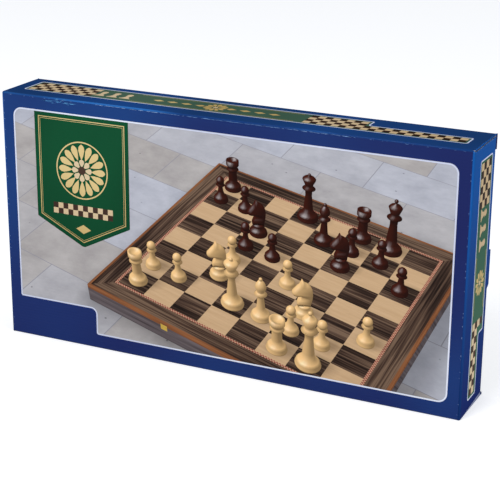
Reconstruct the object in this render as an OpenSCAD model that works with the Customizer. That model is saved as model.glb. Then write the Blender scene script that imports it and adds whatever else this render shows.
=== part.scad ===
// Boxed folding chess set: a tuck-end carton of fluted board, stood on its long narrow side,
// with hinged end lids, and in it the closed wooden chess cassette with its chessmen.
// +X runs along the carton, +Y from the printed front to the back, +Z up.
// The origin is the middle of the face that the carton stands on. Millimetres.

/* [Chess board] */
// Side of one square of the playing field
field = 55; // [50:1:60]
// Border of the board beside the field, inlay and edge strip included
border_w = 30; // [20:1:40]
// Depth of one half of the cassette
half_d = 30; // [28:1:40]
// Thickness of the deck under the veneer
deck_t = 5.4; // [4:0.2:7]
// Thickness of the veneers
veneer_t = 0.6; // [0.4:0.1:1.2]
// Width of the rope inlay round the field
inlay_w = 3; // [2:0.5:5]
// Width of the solid edge strip of the board
lipping_w = 4; // [3:0.5:8]
// Thickness of the cassette's rails
rail_t = 8; // [7:0.5:12]
// Thickness of the felt that lines the cassette
felt_t = 1; // [0.5:0.1:2]

/* [Carton] */
// Thickness of the fluted board
board_t = 1.6; // [1.2:0.1:2]
// Free length between the cassette and each end lid
end_slack = 5.9; // [5.5:0.1:12]
// Free depth behind the cassette, where the tongues tuck in
back_room = 6.5; // [6:0.1:12]
// Free height above the cassette
head_room = 14; // [8:1:24]
// How far a lid's cut top and bottom edges stop short of the folds
lid_edge_gap = 2; // [1:0.5:4]
// How much higher a lid's bottom edge is at the back than at its hinge
lid_skew = 4.5; // [0:0.5:8]
// Length of the dust flaps
dust_flap_l = 38; // [20:1:40]
// Slant of the dust flaps beside the lid's hinge, in mm of width per mm of length
dust_flap_slant = 0.75; // [0.7:0.05:1]
// Length of the tuck tongues
tongue_l = 15; // [10:1:15]
// How far the tongues stop short of the top and bottom panels
tongue_inset = 12; // [6:1:30]
// Width of the glue flap inside the back panel
glue_flap_w = 30; // [15:1:60]
// Height of the thumb notches in the back panel
notch_h = 42; // [30:1:60]
// Depth of the thumb notches
notch_d = 9; // [5:1:12]

/* [Hinges and clasps] */
// Distance of each hinge and clasp from the middle of the cassette
fitting_x = 150; // [100:5:200]
// Length of a hinge
hinge_l = 40; // [30:1:60]
// Thickness of a hinge leaf
leaf_t = 1; // [0.8:0.1:1.5]
// Radius of a hinge knuckle
knuckle_r = 2.5; // [2.2:0.1:3]
// Radius of a hinge pin
hinge_pin_r = 1.1; // [0.8:0.1:1.3]
// Distance from a clasp's pivot to its stud
clasp_span = 16; // [14:1:22]
// Width of a clasp hook
hook_w = 6; // [5:0.5:8]
// Thickness of a clasp hook
hook_t = 1.2; // [0.8:0.1:2]
// Thickness of a catch plate
catch_plate_t = 0.9; // [0.6:0.1:1.5]
// Radius of the clasp's stud and pivot
stud_r = 1.5; // [1.2:0.1:2]
// Radius of the small screws' shanks
screw_r = 0.8; // [0.6:0.1:1]
// Length of the small screws
screw_l = 6; // [4:0.5:7]

/* [Chessmen] */
// King's height
king_h = 90; // [80:1:95]
// King's and queen's base diameter
royal_d = 34; // [30:1:38]
// Queen's height
queen_h = 78; // [70:1:84]
// Bishop's height
bishop_h = 68; // [60:1:74]
// Knight's height
knight_h = 60; // [54:1:66]
// Rook's height
rook_h = 50; // [44:1:56]
// Base diameter of bishops, knights and rooks
officer_d = 29; // [27:1:33]
// Pawn's height
pawn_h = 45; // [40:1:50]
// Pawn's base diameter
pawn_d = 26; // [24:1:28]
// Thickness of the felt under each man
base_felt_t = 0.8; // [0.5:0.1:1.5]

/* [Clearances] */
// Gap between pieces that lie loose against each other
rest_gap = 0.3; // [0.2:0.05:0.4]
// Gap between two panels of board at a crease
crease_gap = 0.1; // [0.1:0.05:0.2]
// Gap round a pin or a screw in its hole
pin_gap = 0.05; // [0.03:0.01:0.1]
// Gap between the closed halves of the cassette
rim_gap = 0.1; // [0.1:0.05:0.3]
// Room between a tuck tongue and the back panel
tongue_room = 1.5; // [1.5:0.1:2]
// Room between the dust flaps and a tuck tongue
flap_room = 0.8; // [0.5:0.1:3]
// Room between two stacks of chessmen
stack_gap = 4; // [2:0.5:5]

/* [Hidden] */
$fn = 48;

// Cassette
files = 8;
ranks = 4;
board_l = files * field + 2 * border_w;
half_h = ranks * field + border_w;
cassette_d = 2 * half_d;

// Carton, made to the cassette
case_w = board_l + 2 * (end_slack + board_t);
case_d = cassette_d + rest_gap + back_room + 2 * board_t;
case_h = half_h + knuckle_r + rest_gap + head_room + 2 * board_t;
front_y = -case_d / 2;
back_y = case_d / 2;
flap_x = case_w / 2 - board_t - rest_gap;
tuck_y = back_y - board_t - tongue_room;
crease = board_t + crease_gap;
flap_front_y = front_y + crease + rest_gap;
flap_back_y = tuck_y - board_t - flap_room;
back_edge_x = case_w / 2 - rest_gap;
notch_r = (pow(notch_h / 2, 2) + pow(notch_d, 2)) / (2 * notch_d);
tongue_cut = tongue_l / 2;
glue_flap_x = case_w / 2 - 2 * tongue_l;
through = 1;

// Where the cassette stands in the carton
mid_y = front_y + board_t + rest_gap + half_d;
low_z = board_t + rest_gap + knuckle_r;
high_z = low_z + half_h;
rail_d = half_d - deck_t - veneer_t;
room_d = 2 * (rail_d - felt_t);
room_l = board_l - 2 * rail_t;
room_h = half_h - 2 * rail_t;

// Wood that is left behind a leaf's edge and under a clasp's pivot
blind_wood = 1;

// Hinges: the pins lie in the plane of the cassette's lower side, between the halves
leaf_h = rail_t - blind_wood;
knuckles = 3;
knuckle_l = hinge_l / knuckles;
leaf_screw_x = hinge_l / 2 - knuckle_l / 2;
leaf_screw_z = knuckle_r + (leaf_h - knuckle_r) / 2;
screw_head_r = 1.7 * screw_r;
screw_head_h = leaf_t / 2;

// Clasps: pivot on the front half, stud on the back half
hook_z = high_z + catch_plate_t + rest_gap;
clasp_head_r = 1.6 * stud_r;
clasp_head_h = 0.8;
clasp_head_z = hook_z + hook_t + rest_gap;
catch_w = 3 * hook_w;
catch_screw_x = catch_w / 2 - 2 * screw_head_r;
pivot_l = rail_t - blind_wood;

// Chessmen: turned beads and steps, and how finely their outlines are divided
foot_h = 4;
foot_step = 1.5;
collar_t = 1.6;
collar_w = 2.4;
waist_curve = 2.4;
waist_steps = 8;
head_steps = 7;
knob_from = -60;

// Places and widths on the men, as shares of a man's height or of its base
rook_neck = 0.62;
rook_tower = 0.33;
bishop_head_w = 0.24;
bishop_head_h = 0.26;
mitre_belly = 0.33;
mitre_tip = 1.04;
mitre_slant = 35;
queen_neck_z = 0.68;
queen_neck_w = 0.11;
king_neck_z = 0.64;
king_neck_w = 0.125;
cup_w = 0.28;
king_cross = 0.1;
coronet_teeth = 8;
knight_thick = 0.42;

// ---------------------------------------------------------------- carton

// One panel of the tube, drawn as its cross-section in Y and Z, mitred at the folds
module tube_panel(section, length) {
    translate([-length / 2, 0, 0]) rotate([90, 0, 90])
        linear_extrude(length) polygon(section);
}

module front_panel() {
    color("#232f69") tube_panel([[front_y, 0], [front_y + board_t, board_t],
        [front_y + board_t, case_h - board_t], [front_y, case_h]], case_w);
}

module top_panel() {
    color("#20406e") tube_panel([[front_y, case_h], [front_y + board_t, case_h - board_t],
        [back_y - board_t, case_h - board_t], [back_y, case_h]], 2 * flap_x);
}

module bottom_panel() {
    color("#20406e") tube_panel([[front_y, 0], [back_y, 0],
        [back_y - board_t, board_t], [front_y + board_t, board_t]], 2 * flap_x);
}

module back_panel() {
    color("#232f69") difference() {
        tube_panel([[back_y, 0], [back_y, case_h],
            [back_y - board_t, case_h - board_t], [back_y - board_t, board_t]], 2 * back_edge_x);
        for (side = [-1, 1])
            translate([side * (back_edge_x + notch_r - notch_d), back_y + through, case_h / 2])
                rotate([90, 0, 0]) cylinder(r = notch_r, h = board_t + 2 * through);
    }
}

// The glue flap hangs on the bottom panel and is glued inside the back panel
module glue_flap() {
    color("#b08d62") translate([0, back_y - board_t, board_t]) rotate([90, 0, 0])
        linear_extrude(board_t) polygon([[-glue_flap_x, 0], [glue_flap_x, 0],
            [glue_flap_x - glue_flap_w / 2, glue_flap_w], [glue_flap_w / 2 - glue_flap_x, glue_flap_w]]);
}

// Pieces of the right end are drawn once, and mirrored for the left end
module end_lid() {
    color("#1f3f86") translate([case_w / 2 - board_t, 0, 0]) rotate([90, 0, 90])
        linear_extrude(board_t) polygon([[front_y + crease, lid_edge_gap],
            [tuck_y, lid_edge_gap + lid_skew],
            [tuck_y, case_h - lid_edge_gap], [front_y + crease, case_h - lid_edge_gap]]);
}

module tuck_tongue() {
    color("#b08d62") translate([case_w / 2 - crease, tuck_y, tongue_inset]) rotate([90, 0, 0])
        linear_extrude(board_t) polygon([[0, 0], [0, case_h - 2 * tongue_inset],
            [-tongue_l + tongue_cut, case_h - 2 * tongue_inset],
            [-tongue_l, case_h - 2 * tongue_inset - tongue_cut],
            [-tongue_l, tongue_cut], [-tongue_l + tongue_cut, 0]]);
}

module upper_dust_flap() {
    color("#b08d62") translate([flap_x - board_t, 0, 0]) rotate([90, 0, 90])
        linear_extrude(board_t) polygon([[flap_front_y, case_h - crease],
            [flap_front_y + dust_flap_slant * dust_flap_l, case_h - crease - dust_flap_l],
            [flap_back_y, case_h - crease - dust_flap_l], [flap_back_y, case_h - crease]]);
}

module lower_dust_flap() {
    translate([0, 0, case_h]) mirror([0, 0, 1]) upper_dust_flap();
}

// ---------------------------------------------------------------- cassette

// Places the front half's own drawing, or its mirror image for the back half.
// In it the halves meet at y = 0, the outside of the board is at y = -half_d,
// the hinge side is at z = 0 and the middle is at x = 0.
module half(front) {
    translate([0, mid_y, low_z]) mirror([0, front ? 0 : 1, 0]) children();
}

module deck() {
    color("#8a6238") translate([lipping_w - board_l / 2, veneer_t - half_d, 0])
        cube([board_l - 2 * lipping_w, deck_t, half_h - lipping_w]);
}

// Strip of the outer edge, on the three sides away from the hinges
module u_frame(outer_l, outer_h, width) {
    difference() {
        translate([-outer_l / 2, 0]) square([outer_l, outer_h]);
        translate([width - outer_l / 2, -through]) square([outer_l - 2 * width, outer_h - width + through]);
    }
}

module board_layer(y, thickness) {
    translate([0, y + thickness, 0]) rotate([90, 0, 0]) linear_extrude(thickness) children();
}

module lipping() {
    color("#b4703c") board_layer(-half_d, deck_t + veneer_t) u_frame(board_l, half_h, lipping_w);
}

module border() {
    color("#3a2a22") board_layer(-half_d, veneer_t)
        u_frame(board_l - 2 * lipping_w, half_h - lipping_w, border_w - lipping_w - inlay_w);
}

module inlay() {
    color("#c8705a") board_layer(-half_d, veneer_t)
        u_frame(files * field + 2 * inlay_w, ranks * field + inlay_w, inlay_w);
}

module squares(parity) {
    color(parity == 0 ? "#3a2a22" : "#e0c090")
        for (file = [0:files - 1], rank = [0:ranks - 1])
            if ((file + rank) % 2 == parity)
                translate([(file - files / 2) * field, -half_d, rank * field])
                    cube([field, veneer_t, field]);
}

module lining() {
    color("#23573a") translate([-room_l / 2, -rail_d, rail_t]) cube([room_l, felt_t, room_h]);
}

module rim_rail(z) {
    translate([-board_l / 2, -rail_d, z]) cube([board_l, rail_d - rim_gap / 2, rail_t]);
}

module each_fitting() {
    for (side = [-1, 1]) translate([side * fitting_x, 0, 0]) children();
}

module screw_hole() {
    cylinder(r = screw_r + pin_gap, h = screw_l + pin_gap);
}

module screw_sink() {
    translate([0, 0, -through]) cylinder(r = screw_head_r + pin_gap, h = screw_head_h + through);
}

module hinge_rail() {
    color("#6a5646") difference() {
        rim_rail(0);
        each_fitting() {
            translate([-hinge_l / 2 - rest_gap, -rim_gap / 2 - leaf_t, -through])
                cube([hinge_l + 2 * rest_gap, leaf_t + through, leaf_h + rest_gap + through]);
            translate([-hinge_l / 2 - rest_gap, 0, 0]) rotate([0, 90, 0])
                cylinder(r = knuckle_r + rest_gap, h = hinge_l + 2 * rest_gap);
            for (x = [-leaf_screw_x, leaf_screw_x])
                translate([x, -rim_gap / 2, leaf_screw_z]) rotate([90, 0, 0]) screw_hole();
        }
    }
}

// The front half's clasp rail takes the pivots, the back half's takes the catch plates
module clasp_rail(front) {
    color("#6a5646") difference() {
        rim_rail(half_h - rail_t);
        each_fitting() {
            if (front)
                translate([0, -clasp_span / 2, half_h - pivot_l - pin_gap])
                    cylinder(r = stud_r + pin_gap, h = pivot_l + through);
            else
                for (x = [-catch_screw_x, catch_screw_x])
                    translate([x, -clasp_span / 2, half_h + catch_plate_t]) rotate([180, 0, 0]) screw_hole();
        }
    }
}

module end_rails() {
    color("#6a5646") for (side = [-1, 1])
        translate([side * (board_l - rail_t) / 2 - rail_t / 2, -rail_d, rail_t])
            cube([rail_t, rail_d - rim_gap / 2, room_h]);
}

// ---------------------------------------------------------------- hinges

// Leaf in the front half, with knuckles at the places in "mine"
module hinge_leaf(mine, other) {
    difference() {
        union() {
            translate([-hinge_l / 2, -rim_gap / 2 - leaf_t, 0]) cube([hinge_l, leaf_t, leaf_h]);
            for (k = mine)
                translate([(k - knuckles / 2) * knuckle_l, 0, 0]) rotate([0, 90, 0])
                    cylinder(r = knuckle_r, h = knuckle_l);
        }
        for (k = other)
            translate([(k - knuckles / 2) * knuckle_l - rest_gap / 2, 0, 0]) rotate([0, 90, 0])
                cylinder(r = knuckle_r + rest_gap / 2, h = knuckle_l + rest_gap);
        translate([-hinge_l / 2 - through, 0, 0]) rotate([0, 90, 0])
            cylinder(r = hinge_pin_r + pin_gap, h = hinge_l + 2 * through);
        for (x = [-leaf_screw_x, leaf_screw_x])
            translate([x, -rim_gap / 2, leaf_screw_z]) rotate([90, 0, 0]) {
                screw_hole();
                screw_sink();
            }
        // The knuckles of this leaf stay clear of the other leaf
        for (k = mine)
            translate([(k - knuckles / 2) * knuckle_l - rest_gap / 2, rim_gap / 2 - pin_gap, knuckle_r / 2])
                cube([knuckle_l + rest_gap, knuckle_r + through, leaf_h]);
    }
}

module front_hinge_leaves() {
    color("#c9a24a") half(true) each_fitting() hinge_leaf([0, 2], [1]);
}

module back_hinge_leaves() {
    color("#c9a24a") half(false) each_fitting() hinge_leaf([1], [0, 2]);
}

module hinge_pins() {
    color("#b0b0b0") half(true) each_fitting() translate([-hinge_l / 2, 0, 0])
        rotate([0, 90, 0]) cylinder(r = hinge_pin_r, h = hinge_l);
}

// Countersunk screw, head down to the shank's tip
module small_screw() {
    cylinder(r = screw_head_r, h = screw_head_h);
    cylinder(r = screw_r, h = screw_l);
}

module hinge_screws() {
    color("#c9a24a") for (front = [true, false]) half(front) each_fitting()
        for (x = [-leaf_screw_x, leaf_screw_x])
            translate([x, -rim_gap / 2, leaf_screw_z]) rotate([90, 0, 0]) small_screw();
}

// ---------------------------------------------------------------- clasps

// Hook with its pivot at the origin and its stud in +Y; its mouth opens to -X
module clasp_hook() {
    mouth = stud_r + rest_gap;
    linear_extrude(hook_t) difference() {
        union() {
            circle(r = hook_w / 2);
            translate([-hook_w / 4, 0]) square([hook_w / 2, clasp_span]);
            translate([0, clasp_span]) circle(r = hook_w / 2 + mouth / 2);
            translate([0, clasp_span]) square([hook_w, hook_w / 4]);
        }
        circle(r = stud_r + pin_gap);
        translate([0, clasp_span]) circle(r = mouth);
        translate([-hook_w, clasp_span - mouth - rest_gap]) square([hook_w, 2 * mouth + rest_gap]);
    }
}

module placed_hook(side) {
    color("#c9a24a") translate([side * fitting_x, mid_y - clasp_span / 2, hook_z]) clasp_hook();
}

module clasp_pivots() {
    color("#c9a24a") translate([0, mid_y - clasp_span / 2, 0]) each_fitting() {
        translate([0, 0, high_z - pivot_l]) cylinder(r = stud_r, h = clasp_head_z - high_z + pivot_l);
        translate([0, 0, high_z]) cylinder(r = hook_w / 2, h = catch_plate_t);
        translate([0, 0, clasp_head_z]) cylinder(r = hook_w / 2, h = clasp_head_h);
    }
}

module catch_plates() {
    color("#c9a24a") translate([0, mid_y + clasp_span / 2, high_z]) each_fitting() {
        difference() {
            translate([-catch_w / 2, -hook_w / 2, 0]) cube([catch_w, hook_w, catch_plate_t]);
            for (x = [-catch_screw_x, catch_screw_x])
                translate([x, 0, catch_plate_t]) rotate([180, 0, 0]) {
                    screw_hole();
                    screw_sink();
                }
        }
        cylinder(r = stud_r, h = clasp_head_z - high_z);
        translate([0, 0, clasp_head_z - high_z]) cylinder(r = clasp_head_r, h = clasp_head_h);
    }
}

module catch_screws() {
    color("#c9a24a") translate([0, mid_y + clasp_span / 2, high_z + catch_plate_t]) each_fitting()
        for (x = [-catch_screw_x, catch_screw_x]) translate([x, 0, 0]) rotate([180, 0, 0]) small_screw();
}

// ---------------------------------------------------------------- chessmen

// Turned outlines are [radius, height] points from the foot to the top of the man.

function foot_points(r) = [[0, 0], [r, 0], [r, foot_h], [r - foot_step, foot_h + foot_step]];

// The waist falls steeply from the foot and then runs up to the neck
function waist_points(r, neck, top) = [for (i = [1:waist_steps]) let (u = i / waist_steps)
    [neck + (r - 2 * foot_step - neck) * pow(1 - u, waist_curve),
        foot_h + foot_step + (top - foot_h - foot_step) * u]];

function collar_points(neck, z) =
    [[neck + collar_w, z], [neck + collar_w, z + collar_t], [neck, z + collar_t]];

function ball_points(r, z, from) = [for (i = [0:head_steps]) let (a = from + (90 - from) * i / head_steps)
    [max(0, r * cos(a)), z + r * sin(a)]];

// A bishop's head is an ellipse, cut off below its belly and where its knob stands
function mitre_points(r, z, h) = [for (i = [0:head_steps]) let (u = i / head_steps)
    [r * sqrt(1 - pow((u - mitre_belly) / (mitre_tip - mitre_belly), 2)), z + h * u]];

module turned(points) {
    rotate_extrude() polygon(points);
}

module pawn() {
    r = pawn_d / 2;
    head_r = pawn_d / 4;
    neck_z = pawn_h - 2 * head_r - collar_t;
    turned(concat(foot_points(r), waist_points(r, head_r / 2, neck_z), collar_points(head_r / 2, neck_z),
        ball_points(head_r, pawn_h - head_r, knob_from)));
}

module rook() {
    r = officer_d / 2;
    tower_r = officer_d * rook_tower;
    neck_z = rook_h * rook_neck;
    wall = tower_r / 3;
    gate = 60;
    difference() {
        turned(concat(foot_points(r), waist_points(r, tower_r - wall, neck_z),
            [[tower_r, neck_z + collar_t], [tower_r, rook_h], [tower_r - wall, rook_h],
                [tower_r - wall, rook_h - wall], [0, rook_h - wall]]));
        for (a = [0:gate:2 * gate]) rotate([0, 0, a])
            translate([-r, -wall / 2, rook_h - wall]) cube([2 * r, wall, wall + through]);
    }
}

module bishop() {
    r = officer_d / 2;
    head_r = officer_d * bishop_head_w;
    head_h = bishop_h * bishop_head_h;
    neck_z = bishop_h - head_h - 2 * collar_t - collar_w;
    difference() {
        turned(concat(foot_points(r), waist_points(r, head_r / 2, neck_z), collar_points(head_r / 2, neck_z),
            mitre_points(head_r, neck_z + 2 * collar_t, head_h),
            ball_points(collar_w / 2, bishop_h - collar_w / 2, knob_from)));
        translate([0, -head_r, neck_z + 2 * collar_t + head_h / 2]) rotate([0, mitre_slant, 0])
            cube([2 * head_r, 2 * head_r, collar_t]);
    }
}

module queen() {
    r = royal_d / 2;
    neck = royal_d * queen_neck_w;
    cup_r = royal_d * cup_w;
    neck_z = queen_h * queen_neck_z;
    rim_z = queen_h - 2 * collar_w;
    difference() {
        turned(concat(foot_points(r), waist_points(r, neck, neck_z), collar_points(neck, neck_z),
            [[neck, neck_z + 2 * collar_t], [cup_r, rim_z], [cup_r - collar_w, rim_z]],
            ball_points(collar_w, queen_h - collar_w, knob_from)));
        for (i = [1:coronet_teeth]) rotate([0, 0, i * 360 / coronet_teeth])
            translate([cup_r, 0, rim_z - through]) cylinder(r = collar_w / 2, h = 2 * through);
    }
}

module king() {
    r = royal_d / 2;
    neck = royal_d * king_neck_w;
    cup_r = royal_d * cup_w;
    neck_z = king_h * king_neck_z;
    cross_h = king_h * king_cross;
    rim_z = king_h - cross_h - 2 * collar_w;
    turned(concat(foot_points(r), waist_points(r, neck, neck_z), collar_points(neck, neck_z),
        [[neck, neck_z + 2 * collar_t], [cup_r, rim_z], [cup_r - collar_w, rim_z + collar_w],
            [0, rim_z + 2 * collar_w]]));
    translate([-collar_w / 2, -collar_w / 2, rim_z + collar_w])
        cube([collar_w, collar_w, cross_h + collar_w]);
    translate([-cross_h / 2, -collar_w / 2, king_h - 2 / 3 * cross_h]) cube([cross_h, collar_w, collar_w]);
}

// Outline of a horse's head that looks to +X, as shares of the base's radius and the head's height:
// chest, throat, jaw, nose, brow, ear, and down the mane
horse = [[-0.65, 0], [0.65, 0], [0.6, 0.2], [0.2, 0.45], [0.25, 0.55], [0.8, 0.5], [0.9, 0.62],
    [0.35, 0.88], [0.1, 1], [-0.1, 0.92], [-0.6, 0.7], [-0.75, 0.4]];

// The horse's head is cut from a board, seen from the side, on a turned foot
module knight() {
    r = officer_d / 2;
    seat_z = foot_h + 3 * foot_step;
    head_h = knight_h - seat_z + foot_step;
    thick = officer_d * knight_thick;
    turned(concat(foot_points(r), [[r - 2 * foot_step, seat_z], [0, seat_z]]));
    translate([0, thick / 2, seat_z - foot_step]) rotate([90, 0, 0]) linear_extrude(thick)
        polygon([for (p = horse) [p[0] * r, p[1] * head_h]]);
}

// The men lie along X, in stacks that lean from the front lining to the back lining in turn,
// as round things do in a narrow space. A stack is named by its men's widest base.
function lean(d) = (room_d - d) / 2 - rest_gap;
function climb(d) = sqrt(pow(d + rest_gap, 2) - pow(2 * lean(d), 2));

// Left end of each stack: pawns, pawns, rooks, knights, bishops, kings and queens
stack_lengths = [pawn_h, pawn_h, rook_h, knight_h, bishop_h, king_h];
function stack_x(i) = i == 0 ? rest_gap - room_l / 2
    : stack_x(i - 1) + stack_lengths[i - 1] + base_felt_t + stack_gap;

module in_stack(stack, place, d) {
    translate([stack_x(stack), mid_y + (place % 2 == 0 ? -1 : 1) * lean(d),
        low_z + rail_t + rest_gap + d / 2 + place * climb(d)]) rotate([0, 90, 0]) children();
}

light = "#e3c58c";
dark = "#4a2018";

module men(shade, stack, places, d) {
    color(shade) for (place = places) in_stack(stack, place, d) translate([0, 0, base_felt_t]) children();
}

module base_felts(stack, places, d, base_d) {
    for (place = places) in_stack(stack, place, d) cylinder(d = base_d - 2 * foot_step, h = base_felt_t);
}

module chessmen_felts() {
    color("#2a6b45") {
        base_felts(0, [0:7], pawn_d, pawn_d);
        base_felts(1, [0:7], pawn_d, pawn_d);
        base_felts(2, [0:3], officer_d, officer_d);
        base_felts(3, [0:3], officer_d, officer_d);
        base_felts(4, [0:3], officer_d, officer_d);
        base_felts(5, [0:3], royal_d, royal_d);
    }
}

front_panel();
top_panel();
back_panel();
bottom_panel();
glue_flap();
end_lid();  // right_lid
tuck_tongue();  // right_tuck_tongue
upper_dust_flap();  // right_upper_dust_flap
lower_dust_flap();  // right_lower_dust_flap
mirror([1, 0, 0]) end_lid();  // left_lid
mirror([1, 0, 0]) tuck_tongue();  // left_tuck_tongue
mirror([1, 0, 0]) upper_dust_flap();  // left_upper_dust_flap
mirror([1, 0, 0]) lower_dust_flap();  // left_lower_dust_flap
half(true) deck();  // front_deck
half(true) hinge_rail();  // front_hinge_rail
half(true) clasp_rail(true);  // front_clasp_rail
half(true) end_rails();  // front_end_rails
half(true) lipping();  // front_lipping
half(true) border();  // front_border
half(true) inlay();  // front_inlay
half(true) squares(0);  // front_dark_squares
half(true) squares(1);  // front_light_squares
half(true) lining();  // front_felt
half(false) deck();  // back_deck
half(false) hinge_rail();  // back_hinge_rail
half(false) clasp_rail(false);  // back_clasp_rail
half(false) end_rails();  // back_end_rails
half(false) lipping();  // back_lipping
half(false) border();  // back_border
half(false) inlay();  // back_inlay
half(false) squares(1);  // back_dark_squares
half(false) squares(0);  // back_light_squares
half(false) lining();  // back_felt
front_hinge_leaves();
back_hinge_leaves();
hinge_pins();
hinge_screws();
placed_hook(-1);  // left_clasp_hook
placed_hook(1);  // right_clasp_hook
clasp_pivots();
catch_plates();
catch_screws();
men(light, 5, [0], royal_d) king();  // light_king
men(light, 5, [2], royal_d) queen();  // light_queen
men(light, 4, [0:1], officer_d) bishop();  // light_bishops
men(light, 3, [0:1], officer_d) knight();  // light_knights
men(light, 2, [0:1], officer_d) rook();  // light_rooks
men(light, 0, [0:7], pawn_d) pawn();  // light_pawns
men(dark, 5, [1], royal_d) king();  // dark_king
men(dark, 5, [3], royal_d) queen();  // dark_queen
men(dark, 4, [2:3], officer_d) bishop();  // dark_bishops
men(dark, 3, [2:3], officer_d) knight();  // dark_knights
men(dark, 2, [2:3], officer_d) rook();  // dark_rooks
men(dark, 1, [0:7], pawn_d) pawn();  // dark_pawns
chessmen_felts();
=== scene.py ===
# %% [markdown]
# # A boxed folding chess set
# The object is a tuck-end carton of thin fluted board, printed and varnished, that stands on its
# long narrow side. Inside it is a folding wooden chess case with brass fittings and its men.
# The frame gives every piece's real size and place. This script makes the carton's pieces again,
# with rounded folds, raw board edges and a printed design, and gives the case and its men wood,
# felt and brass.

# %% Load the frame
import math

import bmesh
import bpy
from mathutils import Matrix, Vector
from mathutils.bvhtree import BVHTree
from mathutils.geometry import tessellate_polygon


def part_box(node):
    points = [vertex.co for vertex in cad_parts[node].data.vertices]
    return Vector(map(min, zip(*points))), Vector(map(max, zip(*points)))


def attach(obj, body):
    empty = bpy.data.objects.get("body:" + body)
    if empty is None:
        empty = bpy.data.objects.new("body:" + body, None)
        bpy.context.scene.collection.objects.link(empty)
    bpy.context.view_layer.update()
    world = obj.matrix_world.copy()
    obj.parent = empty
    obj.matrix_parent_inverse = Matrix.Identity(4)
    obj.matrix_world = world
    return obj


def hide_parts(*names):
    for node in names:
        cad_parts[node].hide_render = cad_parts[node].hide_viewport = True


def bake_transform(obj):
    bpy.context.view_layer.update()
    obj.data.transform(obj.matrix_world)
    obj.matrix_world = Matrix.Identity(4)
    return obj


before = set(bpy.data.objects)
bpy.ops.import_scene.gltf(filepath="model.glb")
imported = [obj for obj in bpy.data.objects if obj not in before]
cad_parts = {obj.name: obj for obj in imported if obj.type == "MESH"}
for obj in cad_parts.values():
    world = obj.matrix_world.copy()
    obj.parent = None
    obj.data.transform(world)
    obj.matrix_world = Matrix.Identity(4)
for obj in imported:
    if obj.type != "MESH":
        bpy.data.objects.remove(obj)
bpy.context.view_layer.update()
MM = 0.001

# %% [markdown]
# The sizes come from the frame. The front panel's box gives the carton's width, depth, height and
# board thickness, and the other panels' boxes give theirs. The left end mirrors the right one.

# %% Sizes, from the frame
front_low, front_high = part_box("front_panel")
back_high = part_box("back_panel")[1]
lid_low, lid_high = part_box("right_lid")
tongue_low, tongue_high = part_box("right_tuck_tongue")
flap_low, flap_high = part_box("right_upper_dust_flap")
glue_low, glue_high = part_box("glue_flap")

HALF_W = front_high.x
HALF_D = -front_low.y
HEIGHT = front_high.z
BOARD = front_high.y - front_low.y
# The varnished board lies this much inside the CAD planes, so that the ink layers fit over it
SKIN = 0.2 * MM
# Outer radius of the long folds and of the folds at the ends
FOLD = 1.5 * MM
END_FOLD = 2.2 * MM
FRONT_Y = -HALF_D + SKIN
BACK_Y = HALF_D - SKIN
TOP_Z = HEIGHT - SKIN
RIGHT_X = HALF_W - SKIN
print("carton", round(2 * HALF_W, 4), round(2 * HALF_D, 4), round(HEIGHT, 4), "board", round(BOARD, 5))

# %% [markdown]
# ## Colours and nodes
# Colours are written as the hex values that a paint program shows. Blender works in linear light,
# so one function converts them. Another adds a shader node with its settings and links in one
# call, which keeps each material short enough to read as a recipe.


# %% Colour and node helpers
def linear(code):
    """Linear RGBA of a hex colour such as "232f69"."""
    channels = [int(code[i:i + 2], 16) / 255 for i in (0, 2, 4)]
    return tuple(c / 12.92 if c <= 0.04045 else ((c + 0.055) / 1.055) ** 2.4 for c in channels) + (1.0,)


def new_material(name):
    """An empty node material and its output node."""
    material = bpy.data.materials.new(name)
    material.use_nodes = True
    material.node_tree.nodes.clear()
    return material, material.node_tree.nodes.new("ShaderNodeOutputMaterial")


def add(material, kind, settings=None, links=None):
    """Adds a node. Settings are its properties or its sockets' values; links feed its sockets."""
    node = material.node_tree.nodes.new("ShaderNode" + kind)
    for key, value in (settings or {}).items():
        if isinstance(key, str) and hasattr(node, key):
            setattr(node, key, value)
        else:
            node.inputs[key].default_value = value
    for key, socket in (links or {}).items():
        material.node_tree.links.new(socket, node.inputs[key])
    return node


def ramp(material, factor, stops):
    """A colour ramp through (position, hex colour) stops."""
    node = add(material, "ValToRGB", links={"Fac": factor})
    elements = node.color_ramp.elements
    while len(elements) < len(stops):
        elements.new(1.0)
    for element, (position, code) in zip(elements, stops):
        element.position = position
        element.color = linear(code)
    return node.outputs["Color"]


def finish(material, output, colour, normal=None, **sockets):
    """The Principled shader at the end of a recipe, with its constant sockets set by name."""
    shader = add(material, "BsdfPrincipled", {k.replace("_", " "): v for k, v in sockets.items()})
    if isinstance(colour, str):
        shader.inputs["Base Color"].default_value = linear(colour)
    else:
        material.node_tree.links.new(colour, shader.inputs["Base Color"])
    if normal:
        material.node_tree.links.new(normal, shader.inputs["Normal"])
    material.node_tree.links.new(shader.outputs["BSDF"], output.inputs["Surface"])
    return material


print("mid grey 808080 in linear light", round(linear("808080")[0], 3))

# %% [markdown]
# ## Varnished print on fluted board
# The carton is offset-printed paper laminated to E-flute board and varnished. The eye reads three
# things: the even ink, the gloss, and the washboard, faint ridges where the liner follows the
# flutes 3.2 mm apart. The ridges are far too shallow to model, so they are a bump. They run along
# the carton on every face, so their height varies with Z on upright faces and with Y on flat ones.

# %% Print finish
FLUTE_PITCH = 3.2 * MM
# A wave texture with scale 1 has 20 / (2 pi) bands a metre
WAVE_SCALE = 2 * math.pi / (20 * FLUTE_PITCH)
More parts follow.
